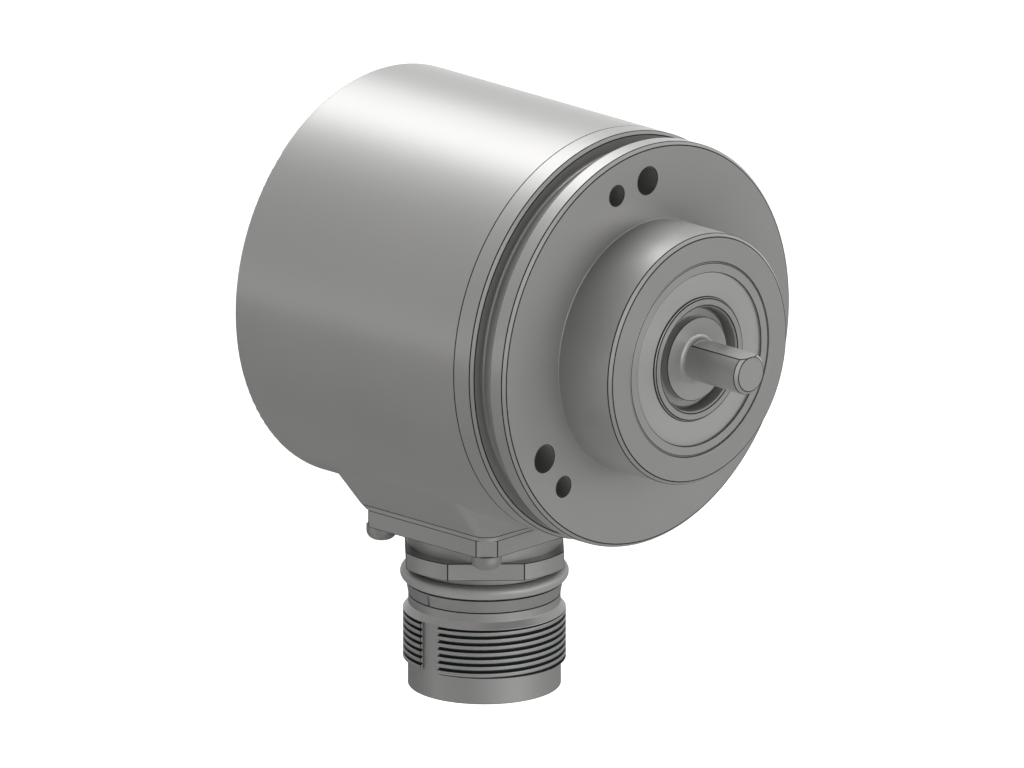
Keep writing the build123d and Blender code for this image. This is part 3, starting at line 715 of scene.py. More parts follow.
class ShaderGroups:
    """Node groups that several finishes share, each built once."""

    def __init__(self) -> None:
        """Build the groups."""
        self.satin = self._satin()
        self.machined = self._machined()
        self.lines = {LineKind.RING: self._ring_line(), LineKind.LEVEL: self._level_line()}

    @staticmethod
    def _start(name: str, inputs: dict[str, float],
               outputs: Sequence[str]) -> tuple[Wiring, Sockets, Sockets]:
        """Make an empty group with its sockets.

        Args:
            name: Name of the group.
            inputs: Number sockets and their defaults.
            outputs: Names of the output sockets.

        Returns:
            The group's wiring, the sockets that it is given and the sockets of its results.
        """
        tree = bpy.data.node_groups.new(name, "ShaderNodeTree")
        for label, value in inputs.items():
            socket = tree.interface.new_socket(label, in_out="INPUT", socket_type="NodeSocketFloat")
            socket.default_value = value
        for label in outputs:
            tree.interface.new_socket(label, in_out="OUTPUT", socket_type="NodeSocketFloat")
        given, result = tree.nodes.new("NodeGroupInput"), tree.nodes.new("NodeGroupOutput")
        return Wiring(tree), given.outputs, result.inputs

    @staticmethod
    def _place(wiring: Wiring) -> Sockets:
        """Sockets with the X, Y and Z of the surface point in the model's frame."""
        return wiring.add("SeparateXYZ", {0: wiring.add("TexCoord", {}).outputs["Object"]}).outputs

    @staticmethod
    def _radius(wiring: Wiring, place: Sockets) -> bpy.types.NodeSocket:
        """Distance of the surface point from the shaft axis."""
        across = wiring.add("CombineXYZ", {"Y": place["Y"], "Z": place["Z"]}).outputs[0]
        return wiring.add("VectorMath", {0: across}, operation="LENGTH").outputs["Value"]

    def _satin(self) -> bpy.types.NodeTree:
        """Fine blasted grain with faint clouding, for colour, roughness and relief.

        Returns:
            Group with a Tone factor, a Roughness shift and a Height.
        """
        wiring, given, result = self._start(
            "satin_grain",
            {"Grain Scale": 2600.0, "Cloud Scale": 60.0, "Tone Depth": 0.05, "Roughness Depth": 0.04},
            ["Tone", "Roughness Shift", "Height"])
        place = wiring.add("TexCoord", {}).outputs["Object"]
        grain, cloud = (
            wiring.add("TexNoise", {"Vector": place, "Scale": given[scale], "Detail": detail}).outputs["Fac"]
            for scale, detail in (("Grain Scale", 2.0), ("Cloud Scale", 3.0)))
        centred = wiring.math("SUBTRACT", wiring.math("ADD", grain, cloud), 1.0)
        wiring.feed(result["Tone"], wiring.math("MULTIPLY_ADD", centred, given["Tone Depth"], 1.0))
        wiring.feed(result["Roughness Shift"], wiring.math("MULTIPLY", centred, given["Roughness Depth"]))
        wiring.feed(result["Height"], grain)
        return wiring.tree

    def _ring_line(self) -> bpy.types.NodeTree:
        """Mask of everything close to one circle about the shaft axis.

        Returns:
            Group with a Line mask, 1 on the line and 0 elsewhere.
        """
        wiring, given, result = self._start(
            LineKind.RING.value, {"Along": 0.0, "Radius": 0.0, "Half Width": 0.0}, ["Line"])
        place = self._place(wiring)
        here = wiring.add("CombineXYZ", {"X": place["X"], "Y": self._radius(wiring, place)}).outputs[0]
        target = wiring.add("CombineXYZ", {"X": given["Along"], "Y": given["Radius"]}).outputs[0]
        gap = wiring.add("VectorMath", {0: here, 1: target}, operation="DISTANCE").outputs["Value"]
        wiring.feed(result["Line"], wiring.math("LESS_THAN", gap, given["Half Width"]))
        return wiring.tree

    def _level_line(self) -> bpy.types.NodeTree:
        """Mask of everything close to one height and beyond one place along X.

        Returns:
            Group with a Line mask, 1 on the line and 0 elsewhere.
        """
        wiring, given, result = self._start(
            LineKind.LEVEL.value, {"Height": 0.0, "Beyond": 0.0, "Half Width": 0.0}, ["Line"])
        place = self._place(wiring)
        close = wiring.math("COMPARE", place["Z"], given["Height"], given["Half Width"])
        beyond = wiring.math("GREATER_THAN", place["X"], given["Beyond"])
        wiring.feed(result["Line"], wiring.math("MULTIPLY", close, beyond))
        return wiring.tree

    def _machined(self) -> bpy.types.NodeTree:
        """Fine concentric tool marks about the shaft axis.

        Returns:
            Group with a Height that rises and falls along X and with the radius.
        """
        wiring, given, result = self._start(
            "turning_marks", {"Lines Per Metre": 5000.0, "Wander": 0.35}, ["Height"])
        place = self._place(wiring)
        reach = wiring.math("ADD", self._radius(wiring, place), place["X"])
        line = wiring.add("CombineXYZ", {"X": reach}).outputs[0]
        marks = wiring.add("TexNoise", {"Vector": line, "Scale": given["Lines Per Metre"], "Detail": 1.0,
                                        "Roughness": given["Wander"]})
        wiring.feed(result["Height"], marks.outputs["Fac"])
        return wiring.tree


@dataclass(frozen=True)
class EdgeLine:
    """Fine dark line painted into a finish, in millimetres: painted shade along an edge, or a dark joint.

    Attributes:
        kind: How the line is placed.
        place: Place along the shaft of a ring, or height of a level line.
        reach: Radius of a ring, or place along the shaft beyond which a level line runs.
        half_width: Half of the line's width.
    """

    kind: LineKind
    place: float
    reach: float
    half_width: float = 0.085

    def mask(self, wiring: Wiring, groups: ShaderGroups) -> bpy.types.NodeSocket:
        """Mask of the line, from the shared group of its kind."""
        values = (self.place * MM, self.reach * MM, self.half_width * MM)
        return wiring.group(groups.lines[self.kind], dict(enumerate(values))).outputs[0]


@dataclass(frozen=True)
class Finish:
    """One finish: a shader with shared grain, written as plain values."""

    name: str
    colour: tuple[float, float, float]
    metallic: float
    roughness: float
    grain_scale: float = 2600.0
    tone_depth: float = 0.05
    roughness_depth: float = 0.05
    relief: float = 0.06
    relief_depth: float = 0.00004
    turned: float = 0.0
    alpha: float = 1.0
    specular: float = 0.5
    lines: tuple[EdgeLine, ...] = ()

    def material(self, groups: ShaderGroups) -> bpy.types.Material:
        """Build the material.

        Args:
            groups: Shared node groups.

        Returns:
            The finished material.
        """
        made = bpy.data.materials.new(self.name)
        made.use_nodes = True
        wiring = Wiring(made.node_tree)
        shader = made.node_tree.nodes["Principled BSDF"].inputs
        shader["Metallic"].default_value = self.metallic
        shader["Specular IOR Level"].default_value = self.specular
        shader["Alpha"].default_value = self.alpha
        grain = wiring.group(groups.satin, {"Grain Scale": self.grain_scale, "Tone Depth": self.tone_depth,
                                            "Roughness Depth": self.roughness_depth}).outputs
        toned = {0: self.colour, "Scale": grain["Tone"]}
        tint = wiring.add("VectorMath", toned, operation="SCALE").outputs[0]
        # Painted shade: each line's mask mixes the near-black shade colour into the base colour.
        for line in self.lines:
            tint = wiring.add("Mix", {MIX_FACTOR: line.mask(wiring, groups), MIX_UNDER: tint,
                                      MIX_OVER: (*PAINTED_SHADE_COLOUR, 1)}, data_type="RGBA").outputs[MIX_RESULT]
        wiring.feed(shader["Base Color"], tint)
        wiring.feed(shader["Roughness"], wiring.math("ADD", grain["Roughness Shift"], self.roughness))
        normal = wiring.add("Bump", {"Strength": self.relief, "Distance": self.relief_depth,
                                     "Height": grain["Height"]}).outputs["Normal"]
        if self.turned:
            marks = wiring.group(groups.machined, {}).outputs["Height"]
            normal = wiring.add("Bump", {"Strength": self.turned, "Distance": self.relief_depth,
                                         "Height": marks, "Normal": normal}).outputs["Normal"]
        wiring.feed(shader["Normal"], normal)
        return made


GREY = (0.262, 0.260, 0.254)
METAL = 0.5
# Near-black colour of the painted shade lines.
PAINTED_SHADE_COLOUR = (0.012, 0.017, 0.017)
MIX_FACTOR = 0
MIX_UNDER = 6
MIX_OVER = 7
MIX_RESULT = 2

# Painted shade along the edges of the shaft's nose, tip chamfer and flat.
SHAFT_SHADE_LINES = (EdgeLine(LineKind.RING, 9.6, 6.0), EdgeLine(LineKind.RING, 19.5, 3.0),
               EdgeLine(LineKind.RING, 20, 2.5), EdgeLine(LineKind.LEVEL, 2.43, 10.2, 0.06))
# Painted shade along the boss's lower edge, and the dark joint where the cover meets the flange.
COVER_SHADE_AND_JOINT_LINES = (EdgeLine(LineKind.LEVEL, -29.9, -100, 0.06), EdgeLine(LineKind.RING, -9.5, 29.25, 0.1))

FINISHES: tuple[Finish, ...] = (
    Finish("flange_aluminium", GREY, METAL, 0.35, turned=0.05),
    Finish("cover_aluminium", GREY, METAL, 0.35, lines=COVER_SHADE_AND_JOINT_LINES),
    Finish("bearing_steel", (0.275, 0.273, 0.267), METAL, 0.35, turned=0.05),
    Finish("stainless_shaft", (0.285, 0.283, 0.277), METAL, 0.35, turned=0.05, lines=SHAFT_SHADE_LINES),
    Finish("spring_steel", (0.235, 0.235, 0.232), METAL, 0.33),
    Finish("screw_steel", GREY, 0.6, 0.32),
    Finish("plated_brass", GREY, METAL, 0.34),
    Finish("gold_contact", (0.66, 0.44, 0.13), 0.95, 0.24, relief=0.02),
    Finish("seal_rubber", (0.235, 0.234, 0.228), 0.25, 0.42, grain_scale=4200.0),
    Finish("bearing_seal", GREY, 0.3, 0.42, grain_scale=4200.0),
    Finish("cage_nylon", (0.52, 0.48, 0.36), 0.0, 0.5),
    Finish("insulator_plastic", (0.018, 0.018, 0.019), 0.0, 0.45),
    Finish("carrier_plastic", (0.014, 0.014, 0.016), 0.0, 0.5),
    Finish("disc_glass", (0.62, 0.70, 0.68), 0.0, 0.06, relief=0.0, alpha=0.45),
    Finish("lamp_glass", (0.75, 0.80, 0.85), 0.0, 0.1, relief=0.0, alpha=0.6),
    Finish("circuit_board", (0.006, 0.085, 0.03), 0.0, 0.35, grain_scale=1400.0),
    Finish("chip_plastic", (0.012, 0.012, 0.013), 0.0, 0.55, grain_scale=5200.0),
    Finish("flex_film", (0.42, 0.16, 0.02), 0.0, 0.3),
    # Painted shade: near-black with little specular, for the faces along edges, thread roots and slot walls.
    Finish("edge_shade", PAINTED_SHADE_COLOUR, 0.0, 0.6, relief=0.0, specular=0.1),
)


class Palette:
    """Materials of the whole object, one for each finish."""

    def __init__(self) -> None:
        """Build the shared groups and every finish."""
        groups = ShaderGroups()
        self.materials = {finish.name: finish.material(groups) for finish in FINISHES}

    def __getitem__(self, name: str) -> bpy.types.Material:
        """Material of one finish."""
        return self.materials[name]

    def dress_nodes(self) -> None:
        """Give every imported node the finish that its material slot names."""
        for name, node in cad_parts.items():
            slot = node.material_slots[0].material.name.split(".")[0]
            node.data.materials[0] = self[slot]
            log.info("dressed %s with %s", name, slot)


def finish_piece(piece: bpy.types.Object, body: Body, slot: str, *nodes: str) -> None:
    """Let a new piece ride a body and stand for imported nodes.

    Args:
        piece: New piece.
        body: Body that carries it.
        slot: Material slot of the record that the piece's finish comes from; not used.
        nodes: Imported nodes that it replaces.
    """
    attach(piece, body.value)
    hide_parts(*nodes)
    log.info("built %s with %d faces", piece.name, len(piece.data.polygons))


@dataclass
class Flange:
    """Front flange with its pilot spigot, rim, groove, rear band and blind screw holes."""

    edge_chamfer: float = 0.5
    rim_length: float = 2.75
    groove_width: float = 3.25
    band_length: float = 3.5
    groove_floor_radius: float = 27.0
    spigot_radius: float = 18.0
    rim_step: float = 0.25
    bore_radius: float = 14.01
    seat_depth: float = 7.0
    shoulder_radius: float = 10.75
    rear_seat_radius: float = 12.01
    rear_seat_depth: float = 7.0
    register_radius: float = 27.2
    seal_floor_radius: float = 25.95
    seal_groove_half: float = 0.85
    register_chamfer: float = 0.4
    hole_circle_radius: float = 24.0
    large_hole: tuple[float, float, float] = (2.0, 8.0, 0.0)
    small_hole: tuple[float, float, float] = (1.5, 6.0, -15.0)
    hole_count: int = 3
    drill_tip: float = 0.55
    foot_rounding: float = 0.1
    groove_rounding: float = 0.4
    bore_rounding: float = 0.05

    def build(self, palette: Palette) -> None:
        """Build the flange.

        Args:
            palette: Materials of the object.
        """
        shape = Shape()
        turning = Turning(self.corners())
        angles = even_angles(AROUND)
        turning.spin(shape, Axle.forward(), angles, open_after=0.0)
        rings = [turning.ring(index, Axle.forward(), angles).points
                 for index, item in enumerate(turning.outline) if abs(item.along) < MERGE_GAP]
        outer = max(rings, key=lambda ring: ring[0].length)
        inner = min(rings, key=lambda ring: ring[0].length)
        mouths = [self._hole(shape, *hole, index) for hole in (self.large_hole, self.small_hole)
                  for index in range(self.hole_count)]
        shape.plane([outer, inner, *mouths], X_AXIS)
        piece = shape.build("flange", palette["flange_aluminium"], palette["edge_shade"])
        finish_piece(piece, Body.HOUSING, "flange_aluminium", "flange_body")

    def corners(self) -> list[Corner]:
        """Outline of the turned flange.

        Returns:
            Its corners from the mounting face over the rear to the spigot.
        """
        size = NodeSize.of("flange_body")
        front, rear, outer = size.high.x, size.low.x, size.radius
        rim = outer - self.rim_step
        chamfer = self.edge_chamfer
        groove_rear = -self.rim_length - self.groove_width
        joint = groove_rear - self.band_length
        seal = NodeSize.of("cover_seal").middle_x
        seal_front, seal_rear = seal + self.seal_groove_half, seal - self.seal_groove_half
        seat_front, seat_rear = front - self.seat_depth, rear + self.rear_seat_depth
        return [
            soft(0, self.spigot_radius, self.foot_rounding),
            Corner(0, rim - chamfer),
            Corner(-chamfer, rim),
            Corner(-self.rim_length, rim),
            soft(-self.rim_length, self.groove_floor_radius, self.groove_rounding),
            soft(groove_rear, self.groove_floor_radius, self.groove_rounding),
            Corner(groove_rear, outer - chamfer),
            Corner(groove_rear - chamfer, outer),
            Corner(joint, outer),
            soft(joint, self.register_radius),
            soft(seal_front, self.register_radius),
            soft(seal_front, self.seal_floor_radius),
            soft(seal_rear, self.seal_floor_radius),
            soft(seal_rear, self.register_radius),
            soft(rear + self.register_chamfer, self.register_radius),
            soft(rear, self.register_radius - self.register_chamfer),
            soft(rear, self.rear_seat_radius),
            soft(seat_rear, self.rear_seat_radius),
            soft(seat_rear, self.shoulder_radius),
            soft(seat_front, self.shoulder_radius),
            soft(seat_front, self.bore_radius),
            Corner(front, self.bore_radius, self.bore_rounding),
            Corner(front, self.spigot_radius - chamfer),
            Corner(front - chamfer, self.spigot_radius),
        ]

    def _hole(self, shape: Shape, radius: float, depth: float, angle: float, index: int) -> list[Vector]:
        """Blind hole in the mounting face.

        Args:
            shape: Shape that receives the hole's wall.
            radius: Radius of the hole.
            depth: Depth of the hole.
            angle: Angle of the first hole from +Z towards +Y, in degrees.
            index: Number of the hole.

        Returns:
            Edge of the hole in the mounting face.
        """
        place = math.radians(angle) + TAU * index / self.hole_count
        axle = Axle.forward(self.hole_circle_radius * math.sin(place),
                            self.hole_circle_radius * math.cos(place))
        mouth = radius + 2 * LINE_SETBACK
        wall = Turning([Corner(-depth - radius * self.drill_tip, 0), soft(-depth, radius), Corner(0, radius),
                        Corner(0, mouth)], closed=False)
        angles = even_angles(AROUND_HOLE)
        wall.spin(shape, axle, angles)
        return [axle.point(0, mouth, turn) for turn in angles]


@dataclass
class Connector:
    """Round connector: square plate, neck, flatted collar, ring seats, threaded barrel and socket."""

    plate_half: float = 12.55
    plate_corner: float = 2.15
    plate_thickness: float = 2.5
    neck_radius: float = 10.74
    neck_length: float = 2.5
    collar_radius: float = 12.27
    collar_flat: float = 11.03
    collar_length: float = 2.5
    collar_steps: int = 16
    lip_radius: float = 10.6
    lip_length: float = 0.8
    ring_seat_radius: float = 9.8
    ring_seat_length: float = 3.3
    snap_seat_radius: float = 9.75
    snap_length: float = 1.6
    sleeve_radius: float = 10.65
    sleeve_length: float = 1.25
    thread_length: float = 8.2
    end_radius: float = 10.7
    socket_radius: float = 9.1
    socket_depth: float = 10.2
    socket_chamfer: float = 0.4
    bore_radius: float = 7.6
    spigot_radius: float = 8.4
    spigot_length: float = 4.0
    screw_spacing: float = 20.3
    screw_hole_radius: float = 1.35
    foot: float = 0.2

    def __post_init__(self) -> None:
        """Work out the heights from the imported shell."""
        shell = NodeSize.of("connector_shell")
        self.top = shell.high.z
        self.end = shell.low.z
        self.seat = self.top - self.spigot_length
        self.plate_bottom = self.seat - self.plate_thickness
        self.neck_bottom = self.plate_bottom - self.neck_length
        self.collar_bottom = self.neck_bottom - self.collar_length
        self.snap_top = self.collar_bottom - self.ring_seat_length
        self.snap_bottom = self.snap_top - self.snap_length
        self.thread_top = self.snap_bottom - self.sleeve_length
        self.thread_bottom = self.thread_top - self.thread_length
        self.axle_x = NodeSize.of("connector_o_ring").middle_x
        self.axle = Axle.upright(self.axle_x)
        self.thread = Thread(self.axle, self.thread_top, self.thread_bottom,
                             self.sleeve_radius, self.end_radius)
        self.angles = self.thread.ring_angles()

    def build(self, palette: Palette) -> None:
        """Build the shell with its plate, neck, collar, barrel and thread.

        Args:
            palette: Materials of the object.
        """
        shape = Shape()
        self._plate(shape)
        self._collar(shape)
        self._barrel(shape)
        self.thread.add_to(shape)
        piece = shape.build("connector_body", palette["plated_brass"], palette["edge_shade"])
        finish_piece(piece, Body.HOUSING, "plated_brass", "connector_shell")

    def _circle(self, radius: float, z: float) -> list[Vector]:
        """Circle about the connector's axis."""
        return [self.axle.point(z, radius, angle) for angle in self.angles]

    def _turn(self, shape: Shape, corners: Sequence[Corner]) -> None:
        """Turn an open outline about the connector's axis."""
        Turning(corners, closed=False).spin(shape, self.axle, self.angles)

    def _plate(self, shape: Shape) -> None:
        """Square plate with chamfered corners and screw holes, and the neck below it.

        Args:
            shape: Shape that receives them.
        """
        half, inner = self.plate_half, self.plate_half - self.plate_corner
        outline = [Vector((self.axle_x + x, y)) for x, y in (
            (half, -inner), (half, inner), (inner, half), (-inner, half),
            (-half, inner), (-half, -inner), (-inner, -half), (inner, -half))]
        bottom, top = Prism(outline).walls(shape, self.plate_bottom, self.seat)
        turns = even_angles(AROUND_HOLE)
        mouth, wall = self.screw_hole_radius + 4 * OVERLAP, self.screw_hole_radius
        low_mouths, high_mouths = [], []
        spacing = self.screw_spacing / 2
        for x, y in ((spacing, spacing), (-spacing, spacing), (-spacing, -spacing), (spacing, -spacing)):
            axle = Axle.upright(self.axle_x + x, y)
            Turning([soft(self.plate_bottom, mouth), soft(self.plate_bottom, wall), soft(self.seat, wall),
                     soft(self.seat, mouth)], closed=False).spin(shape, axle, turns)
            low_mouths.append([axle.point(self.plate_bottom, mouth, turn) for turn in turns])
            high_mouths.append([axle.point(self.seat, mouth, turn) for turn in turns])
        self._turn(shape, [
            soft(self.plate_bottom, self.neck_radius + self.foot),
            soft(self.plate_bottom, self.neck_radius),
            soft(self.neck_bottom, self.neck_radius),
            soft(self.neck_bottom, self.neck_radius + 2 * OVERLAP)])
        neck = self._circle(self.neck_radius + self.foot, self.plate_bottom)
        spigot = self._circle(self.spigot_radius + self.foot, self.seat)
        shape.plane([bottom.points, neck, *low_mouths], -Z_AXIS)
        shape.plane([top.points, spigot, *high_mouths], Z_AXIS)

    def _collar(self, shape: Shape) -> None:
        """Round collar under the neck with a flat towards each screw, and the lip above the sealing ring.

        Args:
            shape: Shape that receives them.
        """
        half_flat = math.acos(self.collar_flat / self.collar_radius)
        span = TAU / 4 - 2 * half_flat
        outline, sharp = [], []
        for quarter in range(4):
            start = TAU / 8 + half_flat + quarter * TAU / 4
            for step in range(self.collar_steps + 1):
                angle = start + span * step / self.collar_steps
                outline.append(Vector((self.axle_x + self.collar_radius * math.cos(angle),
                                       self.collar_radius * math.sin(angle))))
                sharp.append(step in (0, self.collar_steps))
        bottom, top = Prism(outline, sharp).walls(shape, self.collar_bottom, self.neck_bottom)
        shape.plane([top.points, self._circle(self.neck_radius + 2 * OVERLAP, self.neck_bottom)], Z_AXIS)
        shape.plane([bottom.points, self._circle(self.lip_radius + self.foot, self.collar_bottom)], -Z_AXIS)
        lip, seat = self.collar_bottom - self.lip_length, self.ring_seat_radius - 2 * OVERLAP
        self._turn(shape, [
            soft(self.collar_bottom, self.lip_radius + self.foot),
            soft(self.collar_bottom, self.lip_radius),
            soft(lip, self.lip_radius),
            soft(lip, seat),
            soft(self.snap_top, seat)])

    def _barrel(self, shape: Shape) -> None:
        """Ring seats and sleeve above the thread, and the plain end with the socket below it.

        Args:
            shape: Shape that receives them.
        """
        self._turn(shape, [
            soft(self.snap_top, self.ring_seat_radius - 2 * OVERLAP),
            soft(self.snap_top, self.snap_seat_radius),
            soft(self.snap_bottom, self.snap_seat_radius),
            Corner(self.snap_bottom, self.sleeve_radius),
            soft(self.thread_top, self.sleeve_radius)])
        floor = self.end + self.socket_depth
        self._turn(shape, [
            soft(self.thread_bottom - OVERLAP, self.end_radius),
            Corner(self.end, self.end_radius),
            Corner(self.end, self.socket_radius + self.socket_chamfer),
            Corner(self.end + self.socket_chamfer, self.socket_radius),
            soft(floor, self.socket_radius),
            soft(floor, self.bore_radius),
            soft(self.top, self.bore_radius),
            soft(self.top, self.spigot_radius),
            soft(self.seat, self.spigot_radius),
            soft(self.seat, self.spigot_radius + self.foot)])


@dataclass
class SnapRing:
    """Split conical ring between the sealing ring and the thread."""

    inner_radius: float = 9.8
    top_radius: float = 11.0
    bottom_radius: float = 10.65
    rise: float = 0.3
    slit: float = 0.25
    slit_angle: float = 183.0

    def build(self, palette: Palette) -> None:
        """Build the ring.

        Args:
            palette: Materials of the object.
        """
        size = NodeSize.of("connector_snap_ring")
        top, bottom = size.high.z + self.rise, size.low.z
        half = self.slit / 2 / self.top_radius
        start = math.radians(self.slit_angle) + half
        angles = [start + (TAU - 2 * half) * step / AROUND for step in range(AROUND + 1)]
        shape = Shape()
        Turning([
            soft(top, self.inner_radius),
            Corner(top, self.top_radius),
            Corner(bottom, self.bottom_radius),
            soft(bottom, self.inner_radius),
        ]).spin_part(shape, Axle.upright(NodeSize.of("connector_o_ring").middle_x), angles)
        piece = shape.build("snap_ring", palette["spring_steel"], palette["edge_shade"])
        finish_piece(piece, Body.HOUSING, "spring_steel", "connector_snap_ring")


@dataclass
class FrontBearing:
    """Rings and seals of the bearing that lies flush with the spigot."""

    bore_radius: float = 7.5
    outer_radius: float = 14.0
    ball_radius: float = 1.75
    groove_gap: float = 0.04
    bevel: float = 0.25
    outer_land: float = 12.16
    outer_seat: float = 12.43
    inner_land: float = 9.6
    inner_step: float = 8.95
    seal_recess: float = 0.35
    seal_thickness: float = 0.8
    seal_gap: float = 0.05
    groove_steps: int = 14
    edge_rounding: float = 0.05

    def __post_init__(self) -> None:
        """Work out the places along the shaft."""
        size = NodeSize.of("front_bearing_outer_ring")
        self.front, self.rear, self.middle = size.high.x, size.low.x, size.middle_x
        seal_end = self.seal_recess + self.seal_thickness
        self.rear_shoulder, self.front_shoulder = self.rear + seal_end, self.front - seal_end

    def build(self, palette: Palette) -> None:
        """Build the outer ring, the inner ring and the two seals.

        Args:
            palette: Materials of the object.
        """
        for name, slot, body, outlines in (
                ("outer_ring", "bearing_steel", Body.HOUSING, [self.outer_ring()]),
                ("inner_ring", "bearing_steel", Body.ROTOR, [self.inner_ring()]),
                ("seals", "bearing_seal", Body.HOUSING, self.seals())):
            shape = Shape()
            for outline in outlines:
                Turning(outline).spin(shape, Axle.forward(), even_angles(AROUND))
            piece = shape.build(f"front_{name}", palette[slot], palette["edge_shade"])
            finish_piece(piece, body, slot, f"front_bearing_{name}")

    def _groove(self, land: float, side: int) -> list[Corner]:
        """Raceway, from rear to front.

        Args:
            land: Radius of the ring beside the raceway.
            side: 1 in the outer ring and -1 in the inner ring.

        Returns:
            Points of the raceway.
        """
        pitch = (self.bore_radius + self.outer_radius) / 2
        reach = self.ball_radius + self.groove_gap
        half = math.acos(abs(land - pitch) / reach)
        turns = [half * (2 * step / self.groove_steps - 1) for step in range(self.groove_steps + 1)]
        return [soft(self.middle + reach * math.sin(turn), pitch + side * reach * math.cos(turn), 0.0)
                for turn in turns]

    def outer_ring(self) -> list[Corner]:
        """Outline of the outer ring.

        Returns:
            Its corners.
        """
        return [
            soft(self.rear, self.outer_seat),
            soft(self.rear_shoulder, self.outer_seat),
            soft(self.rear_shoulder, self.outer_land),
            *self._groove(self.outer_land, 1),
            soft(self.front_shoulder, self.outer_land),
            soft(self.front_shoulder, self.outer_seat),
            Corner(self.front, self.outer_seat),
            Corner(self.front, self.outer_radius - self.bevel, self.edge_rounding),
            soft(self.front - self.bevel, self.outer_radius),
            soft(self.rear + self.bevel, self.outer_radius),
            soft(self.rear, self.outer_radius - self.bevel),
        ]

    def inner_ring(self) -> list[Corner]:
        """Outline of the inner ring.

        Returns:
            Its corners.
        """
        return [
            soft(self.rear, self.bore_radius + self.bevel),
            soft(self.rear + self.bevel, self.bore_radius),
            soft(self.front - self.bevel, self.bore_radius),
            Corner(self.front, self.bore_radius + self.bevel),
            Corner(self.front, self.inner_step - self.bevel),
            Corner(self.front - self.bevel, self.inner_step),
            soft(self.front_shoulder, self.inner_step),
            soft(self.front_shoulder, self.inner_land),
            *reversed(self._groove(self.inner_land, -1)),
            soft(self.rear_shoulder, self.inner_land),
            soft(self.rear_shoulder, self.inner_step),
            soft(self.rear + self.bevel, self.inner_step),
            soft(self.rear, self.inner_step - self.bevel),
        ]

    def seals(self) -> list[list[Corner]]:
        """Outlines of the rear and the front seal.

        Returns:
            Corners of each.
        """
        inner = self.inner_step + self.seal_gap
        outlines = []
        for low in (self.rear + self.seal_recess, self.front_shoulder):
            high = low + self.seal_thickness
            outlines.append([soft(low, inner), soft(high, inner), soft(high, self.outer_seat),
                             soft(low, self.outer_seat)])
        return outlines


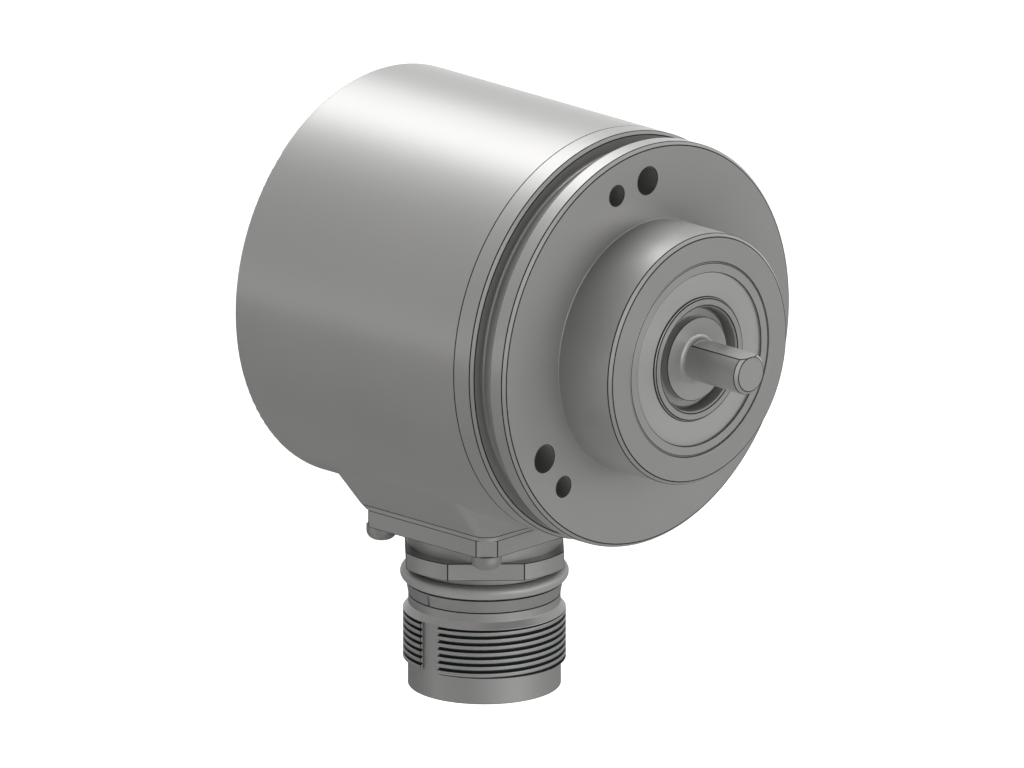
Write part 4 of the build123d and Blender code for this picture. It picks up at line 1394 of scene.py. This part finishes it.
@dataclass
class Studio:
    """Plain studio: white background, soft lamps, a pale floor and the camera."""

    view_azimuth: float = 43.81
    view_elevation: float = 17.43
    view_width: float = 0.14302
    aim: tuple[float, float, float] = (-0.012537, -0.014306, -0.005242)
    distance: float = 0.5
    lamp_softness: float = 34.0
    view_reach: float = 20.0
    room_light: float = 0.05
    floor_depth: float = 0.3
    floor_half: float = 6.0
    floor_grey: float = 0.85
    floor_roughness: float = 0.9
    card_depth: float = 0.12
    card_half: float = 0.6
    card_grey: float = 0.12

    def build(self) -> None:
        """Set up the world, lamps, floor and camera."""
        scene = bpy.context.scene
        scene.view_settings.view_transform = "Standard"
        self._world(scene)
        self._lamps()
        self._floor()
        self._camera(scene)

    def _world(self, scene: bpy.types.Scene) -> None:
        """White background that only camera, glossy and transmitted rays see.

        Args:
            scene: Scene that receives the world.
        """
        world = bpy.data.worlds.new("studio")
        scene.world = world
        world.use_nodes = True
        wiring = Wiring(world.node_tree)
        ground = world.node_tree.nodes["Background"].inputs
        ground["Color"].default_value = (1, 1, 1, 1)
        path = wiring.add("LightPath", {}).outputs
        seen = wiring.math("MAXIMUM", path["Is Camera Ray"], path["Is Glossy Ray"])
        clear = wiring.math("MAXIMUM", seen, path["Is Transmission Ray"])
        level = wiring.add("MapRange", {"Value": clear, "To Min": self.room_light, "To Max": 1.0})
        wiring.feed(ground["Strength"], level.outputs["Result"])

    def _lamps(self) -> None:
        """Soft lamps, each named for where it stands."""
        lamps = {
            "top_key": ((-0.28, 0.26, 0.93), 4.2),
            "rear_key": ((-0.66, 0.34, 0.67), 0.55),
            "under": ((0.00, -0.57, -0.82), 0.38),
            "near_front": ((0.92, -0.20, 0.32), 0.58),
            "near_low": ((0.86, -0.40, -0.32), 0.51),
            "far_front": ((0.75, 0.63, 0.18), 0.49),
            "front": ((0.99, 0.13, -0.07), 0.82),
            "near_under": ((-0.44, -0.81, -0.38), 0.40),
            "far_low": ((0.78, 0.41, -0.48), 0.28),
            "far_side": ((0.50, 0.84, -0.21), 0.23),
            "rear_high": ((-0.75, 0.05, 0.66), 0.22),
        }
        for name, (direction, strength) in lamps.items():
            light = bpy.data.lights.new(name, "SUN")
            light.energy = strength
            light.angle = math.radians(self.lamp_softness)
            lamp = bpy.data.objects.new(name, light)
            lamp.rotation_euler = Vector(direction).to_track_quat("Z", "Y").to_euler()
            bpy.context.scene.collection.objects.link(lamp)

    def _sheet(self, name: str, half: float, height: float, material: bpy.types.Material) -> bpy.types.Object:
        """Square sheet that belongs to the stage.

        Args:
            name: Name of the sheet.
            half: Half of its side in metres.
            height: Its height in metres.
            material: Its material.

        Returns:
            The sheet.
        """
        mesh = bpy.data.meshes.new(name)
        corners = [(-half, -half, height), (half, -half, height), (half, half, height), (-half, half, height)]
        mesh.from_pydata(corners, [], [(0, 1, 2, 3)])
        mesh.materials.append(material)
        sheet = bpy.data.objects.new(name, mesh)
        bpy.context.scene.collection.objects.link(sheet)
        sheet.visible_shadow = False
        return sheet

    def _floor(self) -> None:
        """Pale floor far below, and a grey card that gives the underside something to mirror."""
        pale = bpy.data.materials.new("pale_floor")
        pale.use_nodes = True
        shader = pale.node_tree.nodes["Principled BSDF"].inputs
        shader["Base Color"].default_value = (self.floor_grey, self.floor_grey, self.floor_grey, 1)
        shader["Roughness"].default_value = self.floor_roughness
        self._sheet("floor", self.floor_half, -self.floor_depth, pale)
        grey = bpy.data.materials.new("shade_card")
        grey.use_nodes = True
        wiring = Wiring(grey.node_tree)
        glow = wiring.add("Emission", {"Color": (self.card_grey, self.card_grey, self.card_grey, 1)})
        wiring.feed(grey.node_tree.nodes["Material Output"].inputs["Surface"], glow.outputs[0])
        card = self._sheet("shade_card", self.card_half, -self.card_depth, grey)
        card.visible_camera = False
        card.visible_diffuse = False

    def _camera(self, scene: bpy.types.Scene) -> None:
        """Parallel camera from the photograph's side.

        Args:
            scene: Scene that looks through it.
        """
        azimuth, elevation = math.radians(self.view_azimuth), math.radians(self.view_elevation)
        back = Vector((math.sin(azimuth) * math.cos(elevation), -math.cos(azimuth) * math.cos(elevation),
                       math.sin(elevation)))
        lens = bpy.data.cameras.new("camera")
        lens.type = "ORTHO"
        lens.ortho_scale = self.view_width
        lens.clip_end = self.view_reach
        camera = bpy.data.objects.new("camera", lens)
        camera.location = Vector(self.aim) + back * self.distance
        camera.rotation_euler = back.to_track_quat("Z", "Y").to_euler()
        scene.collection.objects.link(camera)
        scene.camera = camera


def main() -> None:
    """Dress the model, build its fine pieces and set up the studio."""
    logging.basicConfig(level=logging.INFO, format="%(message)s")
    palette = Palette()
    palette.dress_nodes()
    Flange().build(palette)
    FrontBearing().build(palette)
    Connector().build(palette)
    SnapRing().build(palette)
    Studio().build()


if __name__ == "__main__":
    main()
